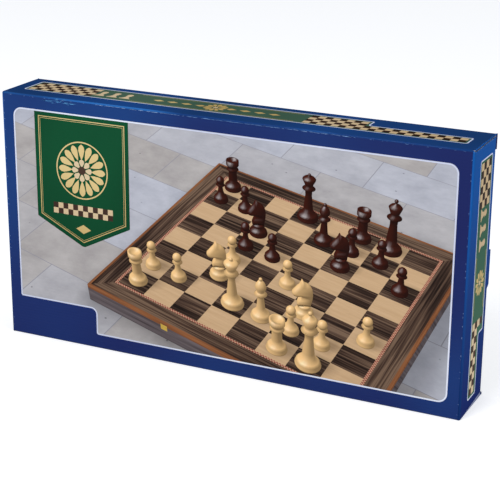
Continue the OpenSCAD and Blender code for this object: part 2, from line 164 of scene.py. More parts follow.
# A dispersion varnish over ink is satin: it mirrors far less than a clear lacquer does. The narrow
# flat faces, on which cartons slide over each other, are rubbed and a little hazier.
VARNISH = {"Z": {"Roughness": 0.36, "IOR": 1.45, "Specular_IOR_Level": 0.0,
                 "Coat_Weight": 0.1, "Coat_Roughness": 0.12},
           "Y": {"Roughness": 0.4, "IOR": 1.45, "Specular_IOR_Level": 0.0,
                 "Coat_Weight": 0.015, "Coat_Roughness": 0.15}}
# The noise values at which an uneven ink has its deep and its bright colour
DEEP_AT, BRIGHT_AT = 0.38, 0.66


def washboard(material, direction, depth):
    """Bump of the flutes, with the slow waves of a panel that was once wet with glue."""
    place = add(material, "TexCoord").outputs["Object"]
    flutes = add(material, "TexWave", {"bands_direction": direction, "Scale": WAVE_SCALE,
                                       "Distortion": 0.6, "Detail Scale": 2.0}, {"Vector": place})
    slow = add(material, "TexNoise", {"Scale": 14.0, "Detail": 2.0}, {"Vector": place})
    ridges = add(material, "Bump", {"Strength": 0.6, "Distance": depth},
                 {"Height": flutes.outputs["Fac"]})
    waves = add(material, "Bump", {"Strength": 0.35, "Distance": 1.2 * MM},
                {"Height": slow.outputs["Fac"], "Normal": ridges.outputs["Normal"]})
    return waves.outputs["Normal"]


def varnished(name, direction, paint, depth=0.06 * MM, **changes):
    """A varnished print whose colour the function paint makes from the material's nodes."""
    material, output = new_material(name)
    return finish(material, output, paint(material), washboard(material, direction, depth),
                  **{**VARNISH[direction], **changes})


print("flutes in the carton's height", round(HEIGHT / FLUTE_PITCH))

# %% [markdown]
# A large solid area is never quite even: the blue of the front and the top drifts slowly. The
# front's drift is also a painted highlight, brighter towards its top left; the ends carry painted
# light, brighter blue above and navy below; and over a fold a painted highlight makes the blue paler.


# %% Solid areas
def uneven_ink(deep, bright, lean=(0, 0, 0), clouds=1.0):
    """Ink that varies slowly between two tones, as a large solid area does on an offset press. Lean
    is the drift from deep to bright in each metre along X, Y and Z from the middle of the carton."""
    def paint(material):
        place = add(material, "TexCoord").outputs["Object"]
        noise = add(material, "TexNoise", {"Scale": 6.0, "Detail": 1.0}, {"Vector": place})
        drift = add(material, "VectorMath", {"operation": "DOT_PRODUCT", 1: lean}, {0: place})
        start = (DEEP_AT + BRIGHT_AT) / 2 * (1 - clouds) - lean[2] * HEIGHT / 2
        total = add(material, "Math", {"operation": "MULTIPLY_ADD", 1: clouds, 2: start},
                    {0: noise.outputs["Fac"]})
        moved = add(material, "Math", {"operation": "ADD"},
                    {0: total.outputs["Value"], 1: drift.outputs["Value"]})
        return ramp(material, moved.outputs["Value"], [(DEEP_AT, deep), (BRIGHT_AT, bright)])
    return paint


def end_ink_with_painted_light(material):
    """Painted light on the ends: a brighter blue above and navy below."""
    place = add(material, "SeparateXYZ", links={"Vector": add(material, "TexCoord").outputs["Object"]})
    height = add(material, "MapRange", {"From Max": HEIGHT}, {"Value": place.outputs["Z"]})
    return ramp(material, height.outputs["Result"], [(0.0, "102464"), (0.45, "13387a"), (0.85, "124f98")])


def fold_ink_with_painted_highlight(material):
    """A painted highlight over a fold: the blue is paler across the bend; it joins the front's navy to the
    end's blue.
    """
    place = add(material, "SeparateXYZ", links={"Vector": add(material, "TexCoord").outputs["Object"]})
    depth = add(material, "MapRange", {"From Min": FRONT_Y, "From Max": FRONT_Y + END_FOLD},
                {"Value": place.outputs["Y"]})
    glow = ramp(material, depth.outputs["Result"], [(0.0, "dce4ec"), (0.1, "ffffff"), (1.0, "e8e8e8")])
    lighter = add(material, "Mix", {"data_type": "RGBA", "blend_type": "ADD", 0: 1.0, 7: linear("0c2a44")},
                  {6: end_ink_with_painted_light(material)})
    mixed = add(material, "Mix", {"data_type": "RGBA", "blend_type": "MULTIPLY", 0: 1.0},
                {6: lighter.outputs[2], 7: glow})
    return mixed.outputs[2]


# The front's blue drifts from deep to bright towards the top left: a painted highlight
navy_front = varnished("varnished_navy_print", "Z",
                       uneven_ink("1b2258", "1a3c77", (-0.24, 0, 0.35), 0.5), 0.1 * MM)
navy_top = varnished("varnished_navy_print_flat", "Y", uneven_ink("173868", "1a4688", (0.4, 0, 0)))
# The ends' ink holds painted light: brighter blue above, navy below
navy_end = varnished("varnished_blue_print_end_painted_light", "Z", end_ink_with_painted_light, Coat_Weight=0.04)
# The lids' folds carry a painted highlight in their ink
navy_fold = varnished("painted_highlight_fold_print", "Z", fold_ink_with_painted_highlight, Coat_Weight=0.04)
# The front's top fold carries a painted highlight: a lighter blue along the crease
crease_highlight_ink = varnished("painted_highlight_crease_print", "Z", uneven_ink("163a74", "2a66ac", (-0.1, 0, 0), 1.6))
print("printed finishes", [material.name for material in bpy.data.materials if "print" in material.name])

# %% [markdown]
# The inside of the carton, its tongues and its dust flaps are the bare liner of the board, a matt
# grey recycled paper with fine fibres. Its cut edges show the duller, browner flutes.


# %% Bare board finishes
def bare_liner():
    """The unprinted side of the board."""
    material, output = new_material("unprinted_grey_liner")
    place = add(material, "TexCoord").outputs["Object"]
    fibres = add(material, "TexNoise", {"Scale": 900.0, "Detail": 4.0}, {"Vector": place})
    colour = ramp(material, fibres.outputs["Fac"], [(0.3, "a6a9b4"), (0.55, "b6b9c4"), (0.8, "c4c6cf")])
    bump = add(material, "Bump", {"Strength": 0.2, "Distance": 0.05 * MM},
               {"Height": fibres.outputs["Fac"]})
    return finish(material, output, colour, bump.outputs["Normal"], Roughness=0.85)


def raw_edge():
    """The cut edge of the board."""
    material, output = new_material("cut_board_edge")
    place = add(material, "TexCoord").outputs["Object"]
    fibres = add(material, "TexNoise", {"Scale": 1500.0, "Detail": 3.0}, {"Vector": place})
    colour = ramp(material, fibres.outputs["Fac"], [(0.3, "8f8880"), (0.7, "b8b5b2")])
    return finish(material, output, colour, Roughness=0.9)


grey_liner = bare_liner()
cut_edge = raw_edge()
# The lower dust flaps' folds: the liner's grey, darkened and tinted blue, a painted shade under the lid
# with a painted blue reflection
fold_painted_shade_ink = varnished("pale_blue_fold_painted_shade", "Y", uneven_ink("7f86a8", "99a0bd"))
print("bare finishes", grey_liner.name, cut_edge.name, fold_painted_shade_ink.name)

# %% [markdown]
# ## Board pieces
# Each panel of the carton is a sheet of board. A small builder makes one from any flat outline,
# with the printed side, the bare side and the cut edge in their own materials.


# %% Mesh helpers
def smooth_step(low, high, value):
    """0 below low, 1 above high and a soft slope between them."""
    share = max(0, min(1, (value - low) / (high - low)))
    return share * share * (3 - 2 * share)


def make_piece(name, body, verts, faces, materials, picks=None, smooth=False):
    """A mesh piece that rides on a body, or on none."""
    mesh = bpy.data.meshes.new(name)
    mesh.from_pydata([tuple(v) for v in verts], [], faces)
    for material in materials:
        mesh.materials.append(material)
    if picks is not None:
        mesh.polygons.foreach_set("material_index", picks)
    mesh.polygons.foreach_set("use_smooth", [smooth] * len(mesh.polygons))
    mesh.update()
    piece = bpy.data.objects.new(name, mesh)
    bpy.context.scene.collection.objects.link(piece)
    if body:
        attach(piece, body)
    return piece


def board_sheet(name, body, outline, place, inward, ink, back=None,
                drag_and_shade=0.3):
    """A flat sheet: outline points go through place to the printed face, and its back is one board
    thickness along inward, with an outline of its own where the cut is slanted. A knife drags the
    printed liner over the outer part of the cut edge; where that part is made large, the ink is painted
    shade on the cut edge."""
    outer = [Vector(place(a, b)) for a, b in outline]
    step = Vector(inward) * (BOARD - SKIN)
    inner = [p + step for p in outer] if back is None else [Vector(place(a, b)) + step for a, b in back]
    middle = [p + (q - p) * drag_and_shade for p, q in zip(outer, inner)]
    count = len(outer)
    faces = [list(range(count)), list(range(3 * count - 1, 2 * count - 1, -1))]
    picks = [0, 1]
    for i in range(count):
        j = (i + 1) % count
        faces += [[j, i, i + count, j + count], [j + count, i + count, i + 2 * count, j + 2 * count]]
        picks += [0, 2]
    normal = sum(((outer[i] - outer[0]).cross(outer[i + 1] - outer[0])
                  for i in range(1, count - 1)), Vector())
    if normal.dot(Vector(inward)) > 0:
        faces = [face[::-1] for face in faces]
    return make_piece(name, body, outer + middle + inner, faces, [ink, grey_liner, cut_edge],
                      picks)


print("a sheet is", round((BOARD - SKIN) / MM, 2), "mm thick")

# %% [markdown]
# A fold is a bent strip between two sheets.


# %% Folds
def fold_mesh(name, rows, ink):
    """A bent strip between two sheets. Each row holds two outer and two inner points."""
    steps = len(rows) - 1
    verts = [point for row in rows for point in row]
    faces, picks = [], []
    for i in range(steps):
        p, q = 4 * i, 4 * (i + 1)
        for quad, pick in (((0, 1), 0), ((3, 2), 1), ((1, 3), 2), ((2, 0), 2)):
            faces.append([p + quad[0], p + quad[1], q + quad[1], q + quad[0]])
            picks.append(pick)
    outward = (verts[1] - verts[0]).cross(verts[5] - verts[1])
    if outward.dot(verts[0] - verts[2]) < 0:
        faces = [face[::-1] for face in faces]
    bend = make_piece(name, None, verts, faces, [ink, grey_liner, cut_edge], picks, smooth=True)
    for polygon in bend.data.polygons:
        polygon.use_smooth = bend.data.materials[polygon.material_index] != cut_edge
    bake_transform(bend)
    return bend


def fold_strip(name, corner, towards_a, towards_b, along, spans, radius, ink):
    """A rounded fold between two sheets at right angles. The outer planes meet at corner; towards_a
    and towards_b run from it along each sheet. Spans are the strip's low and high end on each side."""
    a, b, w = Vector(towards_a), Vector(towards_b), Vector(along)
    centre = Vector(corner) + radius * (a + b)
    steps = 8
    rows = []
    for i in range(steps + 1):
        turn = math.pi / 2 * i / steps
        share = i / steps
        ray = -(b * math.cos(turn) + a * math.sin(turn))
        ends = [spans[0][k] + (spans[1][k] - spans[0][k]) * share for k in (0, 1)]
        rows.append([centre + ray * depth + w * end
                     for depth in (radius, radius - BOARD + SKIN) for end in ends])
    return fold_mesh(name, rows, ink)


ROOT = "carton_and_cassette"
print("outer radius of the folds", round(FOLD / MM, 1), "and", round(END_FOLD / MM, 1), "mm")

# %% [markdown]
# ## The sleeve
# Front, top and bottom are one strip of board that turns round four long folds, so they are one
# swept mesh: a cross-section with rounded corners, drawn along the carton. Each part of the
# section has its own length: the front stops where the end lids' folds start, and the top and the
# bottom reach a little further, to the tighter folds of the dust flaps.

# %% Sleeve
FLAP_FOLD = 1.1 * MM
FLAP_EDGE = RIGHT_X - FLAP_FOLD
FRONT_EDGE = RIGHT_X - END_FOLD
# Steps round each long fold, and cells along the carton
QUARTER_STEPS = 7
COLUMNS = 24


def quarter(centre_y, centre_z, start, radius):
    """Points of a quarter circle in Y and Z, from the angle start upwards, in degrees."""
    turns = [math.radians(start + 90 * i / QUARTER_STEPS) for i in range(QUARTER_STEPS + 1)]
    return [(centre_y + radius * math.cos(t), centre_z + radius * math.sin(t)) for t in turns]


def sleeve_section(inset):
    """Outline of the open strip from the back-bottom fold round the front to the back-top fold."""
    r = FOLD - inset
    low, high = SKIN + FOLD, TOP_Z - FOLD
    near, far = FRONT_Y + FOLD, BACK_Y - FOLD
    return (quarter(far, low, 0, r)[::-1] + quarter(near, low, 180, r)[::-1]
            + quarter(near, high, 90, r)[::-1] + quarter(far, high, 0, r)[::-1])


def sleeve():
    """The strip of board, printed outside, with its bare inside and its cut edges."""
    outer, inner = sleeve_section(0), sleeve_section(BOARD - SKIN)
    points = QUARTER_STEPS + 1
    # The second and third quarters bound the front panel, which ends further in than the others
    reach = []
    for i in range(len(outer)):
        share = (i % points) / QUARTER_STEPS
        blend = (0, share, 1 - share, 0)[i // points]
        reach.append(FLAP_EDGE + (FRONT_EDGE - FLAP_EDGE) * blend ** 0.5)
    verts, faces, picks, curved = [], [], [], []
    for loop in (outer, inner):
        for (y, z), edge in zip(loop, reach):
            verts += [(edge * (2 * c / COLUMNS - 1), y, z) for c in range(COLUMNS + 1)]
    row = COLUMNS + 1
    half = row * len(outer)
    upright, level, inside, cut, crease, end_face = range(6)
    for i in range(len(outer) - 1):
        number, step = divmod(i, points)
        in_fold = step != QUARTER_STEPS
        outside = upright if in_fold or number == 1 else level
        # The front's top fold takes the ink with the painted highlight
        if in_fold and number == 2:
            outside = crease
        for p in range(i * row, i * row + COLUMNS):
            q = half + p
            faces += [[p, p + row, p + row + 1, p + 1], [q + 1, q + row + 1, q + row, q]]
            picks += [outside, inside]
            curved.append(in_fold)
        for p in (i * row, i * row + COLUMNS):
            quad = [p, half + p, half + p + row, p + row]
            faces.append(quad if p == i * row else quad[::-1])
            picks.append(end_face)
    for i in (0, len(outer) - 1):
        for p in range(i * row, i * row + COLUMNS):
            quad = [p, p + 1, half + p + 1, half + p]
            faces.append(quad if i == 0 else quad[::-1])
            picks.append(cut)
    piece = make_piece("carton_sleeve", ROOT, verts, faces,
                       [navy_front, navy_top, grey_liner, cut_edge, crease_highlight_ink, grey_liner], picks)
    # Only the folds are smooth: the flat panels keep their true normals
    sheet_faces = [p for p in piece.data.polygons if p.material_index not in (cut, end_face)]
    for k, polygon in enumerate(sheet_faces):
        polygon.use_smooth = curved[k // 2]
    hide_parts("front_panel", "top_panel", "bottom_panel")
    print("sleeve", len(verts), "points,", len(faces), "faces")


sleeve()

# %% [markdown]
# The back panel closes the tube. Its two ends have a shallow round notch for a thumb, which is an
# arc: its height and depth fix the radius. Between two corner tabs the ends stand back a little,
# and a knife has cut them with a slant.

# %% Back panel and glue flap
NOTCH_H = 42 * MM
NOTCH_D = 9 * MM
RECESS = 2.2 * MM
LOW_TAB, HIGH_TAB = 2.8 * MM, 15.5 * MM
CUT_SLANT = 1.5 * MM
NOTCH_R = ((NOTCH_H / 2) ** 2 + NOTCH_D ** 2) / (2 * NOTCH_D)


def notched_end(side, steps=16):
    """Points up one end of the back panel. Between two corner tabs the end stands back a little, so
    that the lid covers it, and the thumb notch is cut there."""
    recessed = back_high.x - RECESS
    spread = math.asin(NOTCH_H / 2 / NOTCH_R)
    middle = HEIGHT / 2
    points = [(side * back_high.x, LOW_TAB), (side * recessed, LOW_TAB + RECESS / 3)]
    for i in range(steps + 1):
        turn = spread * (2 * i / steps - 1)
        x = min(recessed, back_high.x + NOTCH_R - NOTCH_D - NOTCH_R * math.cos(turn))
        points.append((side * x, middle + NOTCH_R * math.sin(turn)))
    points += [(side * recessed, HEIGHT - HIGH_TAB - RECESS / 3), (side * back_high.x, HEIGHT - HIGH_TAB)]
    return points


low, high = SKIN + FOLD, TOP_Z - FOLD
tab_x = FLAP_EDGE + SKIN
# Beyond the long folds the corner tabs reach the full height of the carton
ends = [[(side * tab_x, low), (side * tab_x, SKIN), (side * back_high.x, SKIN)] + notched_end(side)
        + [(side * back_high.x, TOP_Z), (side * tab_x, TOP_Z), (side * tab_x, high)] for side in (1, -1)]
outline = ends[0] + ends[1][::-1]
slanted = [(x - math.copysign(CUT_SLANT, x), z) for x, z in outline]
# Most of the back panel's cut ends carry the navy ink: painted shade, where the lid shadows them
back = board_sheet("carton_back", ROOT, outline, lambda x, z: (x, BACK_Y, z), (0, -1, 0), navy_front,
                   back=slanted, drag_and_shade=0.85)
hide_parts("back_panel")

bevel = (glue_high.z - glue_low.z) / 2
outline = [(glue_low.x, glue_low.z), (glue_high.x, glue_low.z),
           (glue_high.x - bevel, glue_high.z), (glue_low.x + bevel, glue_high.z)]
glue = board_sheet("carton_glue_flap", ROOT, outline, lambda x, z: (x, glue_high.y, z), (0, -1, 0),
                   grey_liner)
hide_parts("glue_flap")
print("thumb notch radius", round(NOTCH_R / MM, 1), "mm, back panel", len(ends[0]), "points an end")

# %% [markdown]
# ## End lids, tongues and dust flaps
# An end lid is hinged on a fold at the front panel's short edge and carries a tuck tongue on its
# far edge. Above and below it, dust flaps hang on the top and bottom panels. Both ends are alike,
# so each function takes a side, whose sign mirrors it.

# %% Lid, pull tab and tongue
TUCK_Y = lid_high.y - SKIN
HINGE_Y = FRONT_Y + END_FOLD
TUCK_START = TUCK_Y - END_FOLD
# The lid's lower edge lies this high at the hinge and rises by the skew towards the tongue
LID_GAP = lid_low.z - 1.0 * MM
LID_SKEW = 4.5 * MM
FAR_GAP = LID_GAP + LID_SKEW * (TUCK_START - HINGE_Y) / (TUCK_Y - HINGE_Y)
# Its lower and upper edges are cut with a slant
LID_BEVEL = 1.3 * MM
LID_TOP_BEVEL = 0.2 * MM
# The pull tab's slanted lower and upper corners, and its clearance in the thumb notch
TAB_LOW_CUT, TAB_HIGH_CUT, TAB_PLAY = 3 * MM, 1 * MM, 1 * MM


def end_lid(word, side):
    """A lid with its fold, and a pull tab, cut out of the tongue's crease, that stands past it into
    the thumb notch of the back panel."""
    lid = word + "_lid"

    def place(y, z):
        return side * RIGHT_X, y, z

    outline = [(HINGE_Y, LID_GAP), (TUCK_START, FAR_GAP), (TUCK_START, lid_high.z), (HINGE_Y, lid_high.z)]
    bevelled = [(HINGE_Y, LID_GAP + LID_BEVEL), (TUCK_START, FAR_GAP + LID_BEVEL),
                (TUCK_START, lid_high.z - LID_TOP_BEVEL), (HINGE_Y, lid_high.z - LID_TOP_BEVEL)]
    sheet = board_sheet(lid + "_board", lid, outline, place, (-side, 0, 0), navy_end, back=bevelled)
    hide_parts(lid)
    fold_strip(lid + "_fold", (side * RIGHT_X, FRONT_Y, 0), (-side, 0, 0), (0, 1, 0),
               (0, 0, 1), ((SKIN + 0.1 * FOLD, TOP_Z - 0.1 * FOLD), (LID_GAP, lid_high.z)), END_FOLD,
               navy_fold)

    low, high = HEIGHT / 2 - NOTCH_H / 2 + TAB_PLAY, HEIGHT / 2 + NOTCH_H / 2 - TAB_PLAY
    outline = [(TUCK_START, low), (BACK_Y, low + TAB_LOW_CUT), (BACK_Y, high - TAB_HIGH_CUT),
               (TUCK_START, high)]
    board_sheet(lid + "_pull_tab", lid, outline, place, (-side, 0, 0), navy_end)


def end_tongue(word, side):
    """The tuck tongue, with its corners cut off, and its fold to the lid."""
    lid, tongue = word + "_lid", word + "_tuck_tongue"
    cut = (tongue_high.x - tongue_low.x) / 2
    start = RIGHT_X - END_FOLD
    tip, low, high = tongue_low.x, tongue_low.z, tongue_high.z
    outline = [(start, low), (tip + cut, low), (tip, low + cut), (tip, high - cut), (tip + cut, high),
               (start, high)]
    sheet = board_sheet(tongue + "_board", tongue, outline, lambda x, z: (side * x, TUCK_Y, z), (0, -1, 0),
                        grey_liner)
    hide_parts(tongue)
    fold_strip(word + "_tongue_fold", (side * RIGHT_X, TUCK_Y, 0), (0, -1, 0), (-side, 0, 0),
               (0, 0, 1), ((FAR_GAP, lid_high.z), (low, high)), END_FOLD, navy_end)


print("lid from", round(LID_GAP / MM, 1), "mm at the hinge to", round(FAR_GAP / MM, 1), "mm at the tongue")

# %% [markdown]
# A dust flap's fold is the part that shows under the lid. It springs out almost flush with the lid,
# which doesn't reach it, and then leans in behind the lid. The board is creased where the lean
# starts, and each part is a strip of its own.

# %% Dust flaps
# A dust flap is cut back at the hinge, so that the lid's fold turns past it, and its tip is slanted
FLAP_EASE = 1.3 * MM
FLAP_SLANT = 0.75
# How far the spring of the fold stays behind the lid's face, and how deep it goes
SPRING_GAP = 0.1 * MM
SPRING_DEPTH = 0.6 * MM
SPRING_STEPS = 6
LEAN_SHARES = (0.35, 0.7, 1.0)
# The board's thickness where the fold leaves the panel and at the crease, as shares of the full one
CRUSHED_START, CRUSHED_LEAST = 0.15, 0.02


def flap_section(gap, slant):
    """The fold's line in X and in depth below the panel's face, where the lid is a gap away."""
    out_x, in_x = RIGHT_X - SPRING_GAP, flap_high.x - SKIN
    turns = [math.pi / 2 * i / SPRING_STEPS for i in range(SPRING_STEPS + 1)]
    spring = [(FLAP_EDGE + (out_x - FLAP_EDGE) * math.sin(turn), SPRING_DEPTH * (1 - math.cos(turn)))
              for turn in turns]
    lean = [(out_x + (in_x - out_x) * share, SPRING_DEPTH + (gap + slant - SPRING_DEPTH) * share)
            for share in LEAN_SHARES]
    return [Vector((x, 0, z)) for x, z in spring + lean]


def flap_fold(flap, side, up, gaps, slant, ends, ink):
    """The fold of a dust flap in two strips. Gaps are the lid's distances from the panel's face at
    the front and the back, and ends are the flap's places there."""
    face = TOP_Z if up > 0 else SKIN
    sections = [flap_section(gap, slant) for gap in gaps]
    rows = []
    last = len(sections[0]) - 1
    for i in range(last + 1):
        # The flutes are crushed flat at the crease and open again towards the flap
        opened = (max(i, SPRING_STEPS) - SPRING_STEPS) / (last - SPRING_STEPS)
        crushed = max(CRUSHED_LEAST, CRUSHED_START * (1 - i / SPRING_STEPS), opened ** 2)
        row = []
        for thickness in (0, (BOARD - SKIN) * crushed):
            for section, y, wide in zip(sections, ends, (FRONT_Y + FOLD, BACK_Y - FOLD)):
                run = section[min(i + 1, last)] - section[max(i - 1, 0)]
                across = Vector((-1, 0, 0)) if i == last else Vector((-run.z, 0, run.x)).normalized()
                spot = section[i] + across * thickness
                y = wide + (y - wide) * smooth_step(0.5, 1, i / last)
                row.append(Vector((side * spot.x, y, face - up * spot.z)))
        rows.append(row)
    fold_mesh(flap + "_fold", rows[:SPRING_STEPS + 1], ink)
    fold_mesh(flap + "_lean", rows[SPRING_STEPS:], ink)


def dust_flap(word, level, side, up):
    """A dust flap, whose base and slanted tip follow the lid's edge, and its fold."""
    flap = f"{word}_{level}_dust_flap"
    edge = TOP_Z if up > 0 else SKIN
    gaps = (TOP_Z - lid_high.z,) * 2 if up > 0 else (LID_GAP, FAR_GAP)
    slant = LID_TOP_BEVEL if up > 0 else LID_BEVEL
    bases = [edge - up * (gap + slant) for gap in gaps]
    tip = edge - up * (flap_high.z - flap_low.z)
    front = flap_low.y + FLAP_EASE
    outline = [(front, bases[0]), (flap_low.y + FLAP_SLANT * abs(tip - bases[1]), tip), (flap_high.y, tip),
               (flap_high.y, bases[1])]
    x = flap_high.x - SKIN
    sheet = board_sheet(flap + "_board", flap, outline, lambda y, z: (side * x, y, z), (-side, 0, 0),
                        grey_liner)
    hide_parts(flap)
    flap_fold(flap, side, up, gaps, slant, (front, flap_high.y), navy_end if up > 0 else fold_painted_shade_ink)


for end_word, end_side in (("right", 1), ("left", -1)):
    end_lid(end_word, end_side)
    end_tongue(end_word, end_side)
    dust_flap(end_word, "upper", end_side, 1)
    dust_flap(end_word, "lower", end_side, -1)

# %% [markdown]
# ## The printed design
# Ink has no thickness to speak of, but a design can still be drawn as geometry: each layer is a
# flat mesh a few hundredths of a millimetre above the one below. That keeps edges sharp at any
# distance, where a painted texture would need a very large image. A sheet of ink collects shapes,
# each with its own layer and its own ink, and lays them on a face of the carton.

# %% Inks and ink sheets
LAYER = 0.025 * MM


def solid_ink(word, direction, deep, bright):
    """A solid colour for upright faces, Z, or flat ones, Y."""
    return varnished(f"{word}_ink_{direction.lower()}", direction, uneven_ink(deep, bright))


INK_COLOURS = {"white": ("c9cee2", "dde2f0"), "green": ("053c22", "0a4a2c"), "gold": ("b79a5f", "d8bf86"),
               "brown": ("2c1d17", "46332a"), "cream": ("c3a983", "d6c09c")}
# The green of the narrow faces is lighter and greyer than the front's
NARROW_GREENS = {"top": ("3c5747", "496352"), "end": ("2c5843", "3a644d")}
inks = {d: {w: solid_ink(w, d, *pair) for w, pair in INK_COLOURS.items()} for d in ("Z", "Y")}
top_inks = {**inks["Y"], "green": solid_ink("top_green", "Y", *NARROW_GREENS["top"])}
end_inks = {**inks["Z"], "green": solid_ink("end_green", "Z", *NARROW_GREENS["end"])}


class InkSheet:
    """Flat shapes on one face of the carton. Place turns (u, v, lift) into a point in the frame, and
    a design that is drawn along other lines first goes through at, which gives its (u, v)."""

    def __init__(self, name, body, place, palette, at=lambda u, v: (u, v)):
        self.name, self.body, self.place, self.palette, self.at = name, body, place, palette, at
        self.words = list(palette)
        self.verts, self.faces, self.picks = [], [], []

    def shape(self, word, layer, outline, holes=()):
        loops = [[Vector((*self.at(*point), 0)) for point in loop] for loop in (outline, *holes)]
        start = len(self.verts)
        for loop in loops:
            self.verts += [self.place(p.x * MM, p.y * MM, layer * LAYER) for p in loop]
        for triangle in tessellate_polygon(loops):
            self.faces.append([start + i for i in triangle])
            self.picks.append(self.words.index(word))

    def done(self):
        """Turns the faces outwards and makes the piece."""
        outward = self.place(0, 0, 1) - self.place(0, 0, 0)
        for i, face in enumerate(self.faces):
            a, b, c = (self.verts[k] for k in face[:3])
            if (b - a).cross(c - a).dot(outward) < 0:
                self.faces[i] = face[::-1]
        return make_piece(self.name, self.body, self.verts, self.faces,
                          [self.palette[w] for w in self.words], self.picks)


print("inks", sorted(INK_COLOURS))

# %% [markdown]
# The ornaments are outlines worked out from a few values: frames with rounded corners, rules that
# run along them, discs, lozenges, rings of petals and blocks of squares.


# %% Ornaments
def rounded(corners, inset=0.0, steps=6):
    """Outline through (u, v, radius) corners in counterclockwise order, drawn in by inset."""
    points = []
    count = len(corners)
    for i, (u, v, radius) in enumerate(corners):
        here = Vector((u, v))
        before = Vector(corners[i - 1][:2]) - here
        after = Vector(corners[(i + 1) % count][:2]) - here
        before.normalize()
        after.normalize()
        hollow = before.cross(after) > 0
        bisector = before + after
        half = math.acos(max(-1, min(1, before.dot(after)))) / 2
        bisector.normalize()
        shift = inset / math.sin(half) * (-1 if hollow else 1)
        reach = max(radius + (inset if hollow else -inset), 0.05)
        corner = here + bisector * shift
        centre = corner + bisector * reach / math.sin(half)
        start = corner + before * reach / math.tan(half)
        end = corner + after * reach / math.tan(half)
        first = math.atan2(start.y - centre.y, start.x - centre.x)
        turn = math.atan2(end.y - centre.y, end.x - centre.x) - first
        turn = (turn + math.pi) % (2 * math.pi) - math.pi
        points += [(centre.x + reach * math.cos(first + turn * k / steps),
                    centre.y + reach * math.sin(first + turn * k / steps)) for k in range(steps + 1)]
    return points


def rule(sheet, word, layer, corners, inset, width):
    """A ruled line of the given width that runs inside an outline."""
    sheet.shape(word, layer, rounded(corners, inset), [rounded(corners, inset + width)])


def disc(u, v, radius, count=24):
    """Outline of a disc."""
    turns = [2 * math.pi * k / count for k in range(count)]
    return [(u + radius * math.cos(turn), v + radius * math.sin(turn)) for turn in turns]


def lozenge(u, v, half_u, half_v):
    """Outline of a lozenge."""
    return [(u - half_u, v), (u, v - half_v), (u + half_u, v), (u, v + half_v)]


# One side of a petal, as (share of its length, share of its widest half), and the part of its
# sector that a petal fills
LEAF = [(0, 0), (0.3, 0.8), (0.6, 1), (0.8, 0.8), (0.93, 0.42), (1, 0)]
LEAF_FILL = 0.86


def petals(sheet, word, layer, u, v, inner, outer, count):
    """A ring of leaf-shaped petals, as in a turned rosette, that just miss each other."""
    room = math.tan(math.pi / count) * LEAF_FILL
    for k in range(count):
        turn = 2 * math.pi * k / count
        along = Vector((math.cos(turn), math.sin(turn)))
        across = Vector((-along.y, along.x))
        leaf = []
        for share, width in LEAF + [(share, -width) for share, width in LEAF[-2:0:-1]]:
            reach = inner + (outer - inner) * share
            spot = along * reach + across * width * room * reach
            leaf.append((u + spot.x, v + spot.y))
        sheet.shape(word, layer, leaf)


def chequers(sheet, layer, u, v, size, columns, rows):
    """A block of brown and cream squares whose lowest corner is at (u, v)."""
    for i in range(columns):
        for j in range(rows):
            corner = (u + i * size, v + j * size)
            sheet.shape("brown" if (i + j) % 2 else "cream", layer,
                        [corner, (corner[0] + size, corner[1]), (corner[0] + size, corner[1] + size),
                         (corner[0], corner[1] + size)])


print("a petal has", 2 * len(LEAF) - 2, "points")

# %% [markdown]
# ## The picture
# The picture field shows a chess board on stone slabs, with men on it. It is drawn as a printed
# photograph would be: a small set-up of its own, with a board and turned men in real sizes, is
# seen through a pinhole and flattened onto the panel. Each point keeps its place in the picture and
# loses its depth. A ray from each point of a man to the pinhole tells what hides behind the others,
# and a face with no point in sight is left out.

# %% Pinhole of the picture
# Corners of the picture field on the panel, as (u, v, radius) in millimetres
LEFT, RIGHT, BOTTOM, TOP = 15, 500, 16.5, 254.5
FIELD = ((RIGHT, BOTTOM, 9), (RIGHT, TOP, 9), (LEFT, TOP, 9), (LEFT, 45.5, 1.5), (109.5, 45.5, 7),
         (109.5, BOTTOM, 1.5))
PICTURE_CENTRE = (322, 122)
EYE_DISTANCE, EYE_HEIGHT_ANGLE, BOARD_TURN = 1500, 36, -24
PICTURE_SCALE = 0.60

eye_slope = math.radians(EYE_HEIGHT_ANGLE)
eye_ahead = Vector((0, math.cos(eye_slope), -math.sin(eye_slope)))
eye = -eye_ahead * EYE_DISTANCE
eye_up = Vector((1, 0, 0)).cross(eye_ahead)
board_spin = Matrix.Rotation(math.radians(BOARD_TURN), 3, "Z")
LIGHT = Vector((-0.55, -0.25, 0.8)).normalized()


def front_place(u, v, lift):
    """A point of the front panel, from its lower left corner."""
    return Vector((-HALF_W + u, FRONT_Y - lift, v))


def pictured(point):
    """Place in the picture, in millimetres of the panel, of a point of the set-up."""
    ray = point - eye
    scale = PICTURE_SCALE * EYE_DISTANCE / ray.dot(eye_ahead)
    return PICTURE_CENTRE[0] + ray.x * scale, PICTURE_CENTRE[1] + ray.dot(eye_up) * scale


print("the pinhole lies", [round(c) for c in eye], "mm from the middle of the pictured board")

# %% [markdown]
# Turned men are surfaces of revolution, so each is a short profile of (radius, height) points. A
# ball is an arc in that profile. The knight is the one that no lathe makes: its head is a flat
# outline with its edges drawn in, on a turned base.


# %% Men of the picture
def ball(radius, height, first=-50, steps=5):
    """An arc of a ball, from the angle first up to the pole."""
    turns = [math.radians(first + (90 - first) * k / steps) for k in range(steps + 1)]
    return [(radius * math.cos(turn), height + radius * math.sin(turn)) for turn in turns]


def foot(radius):
    """The base that all the men share."""
    return [(radius, 0), (radius * 1.04, 2.5), (radius * 0.9, 5), (radius * 0.96, 7), (radius * 0.8, 10),
            (radius * 0.5, 14)]


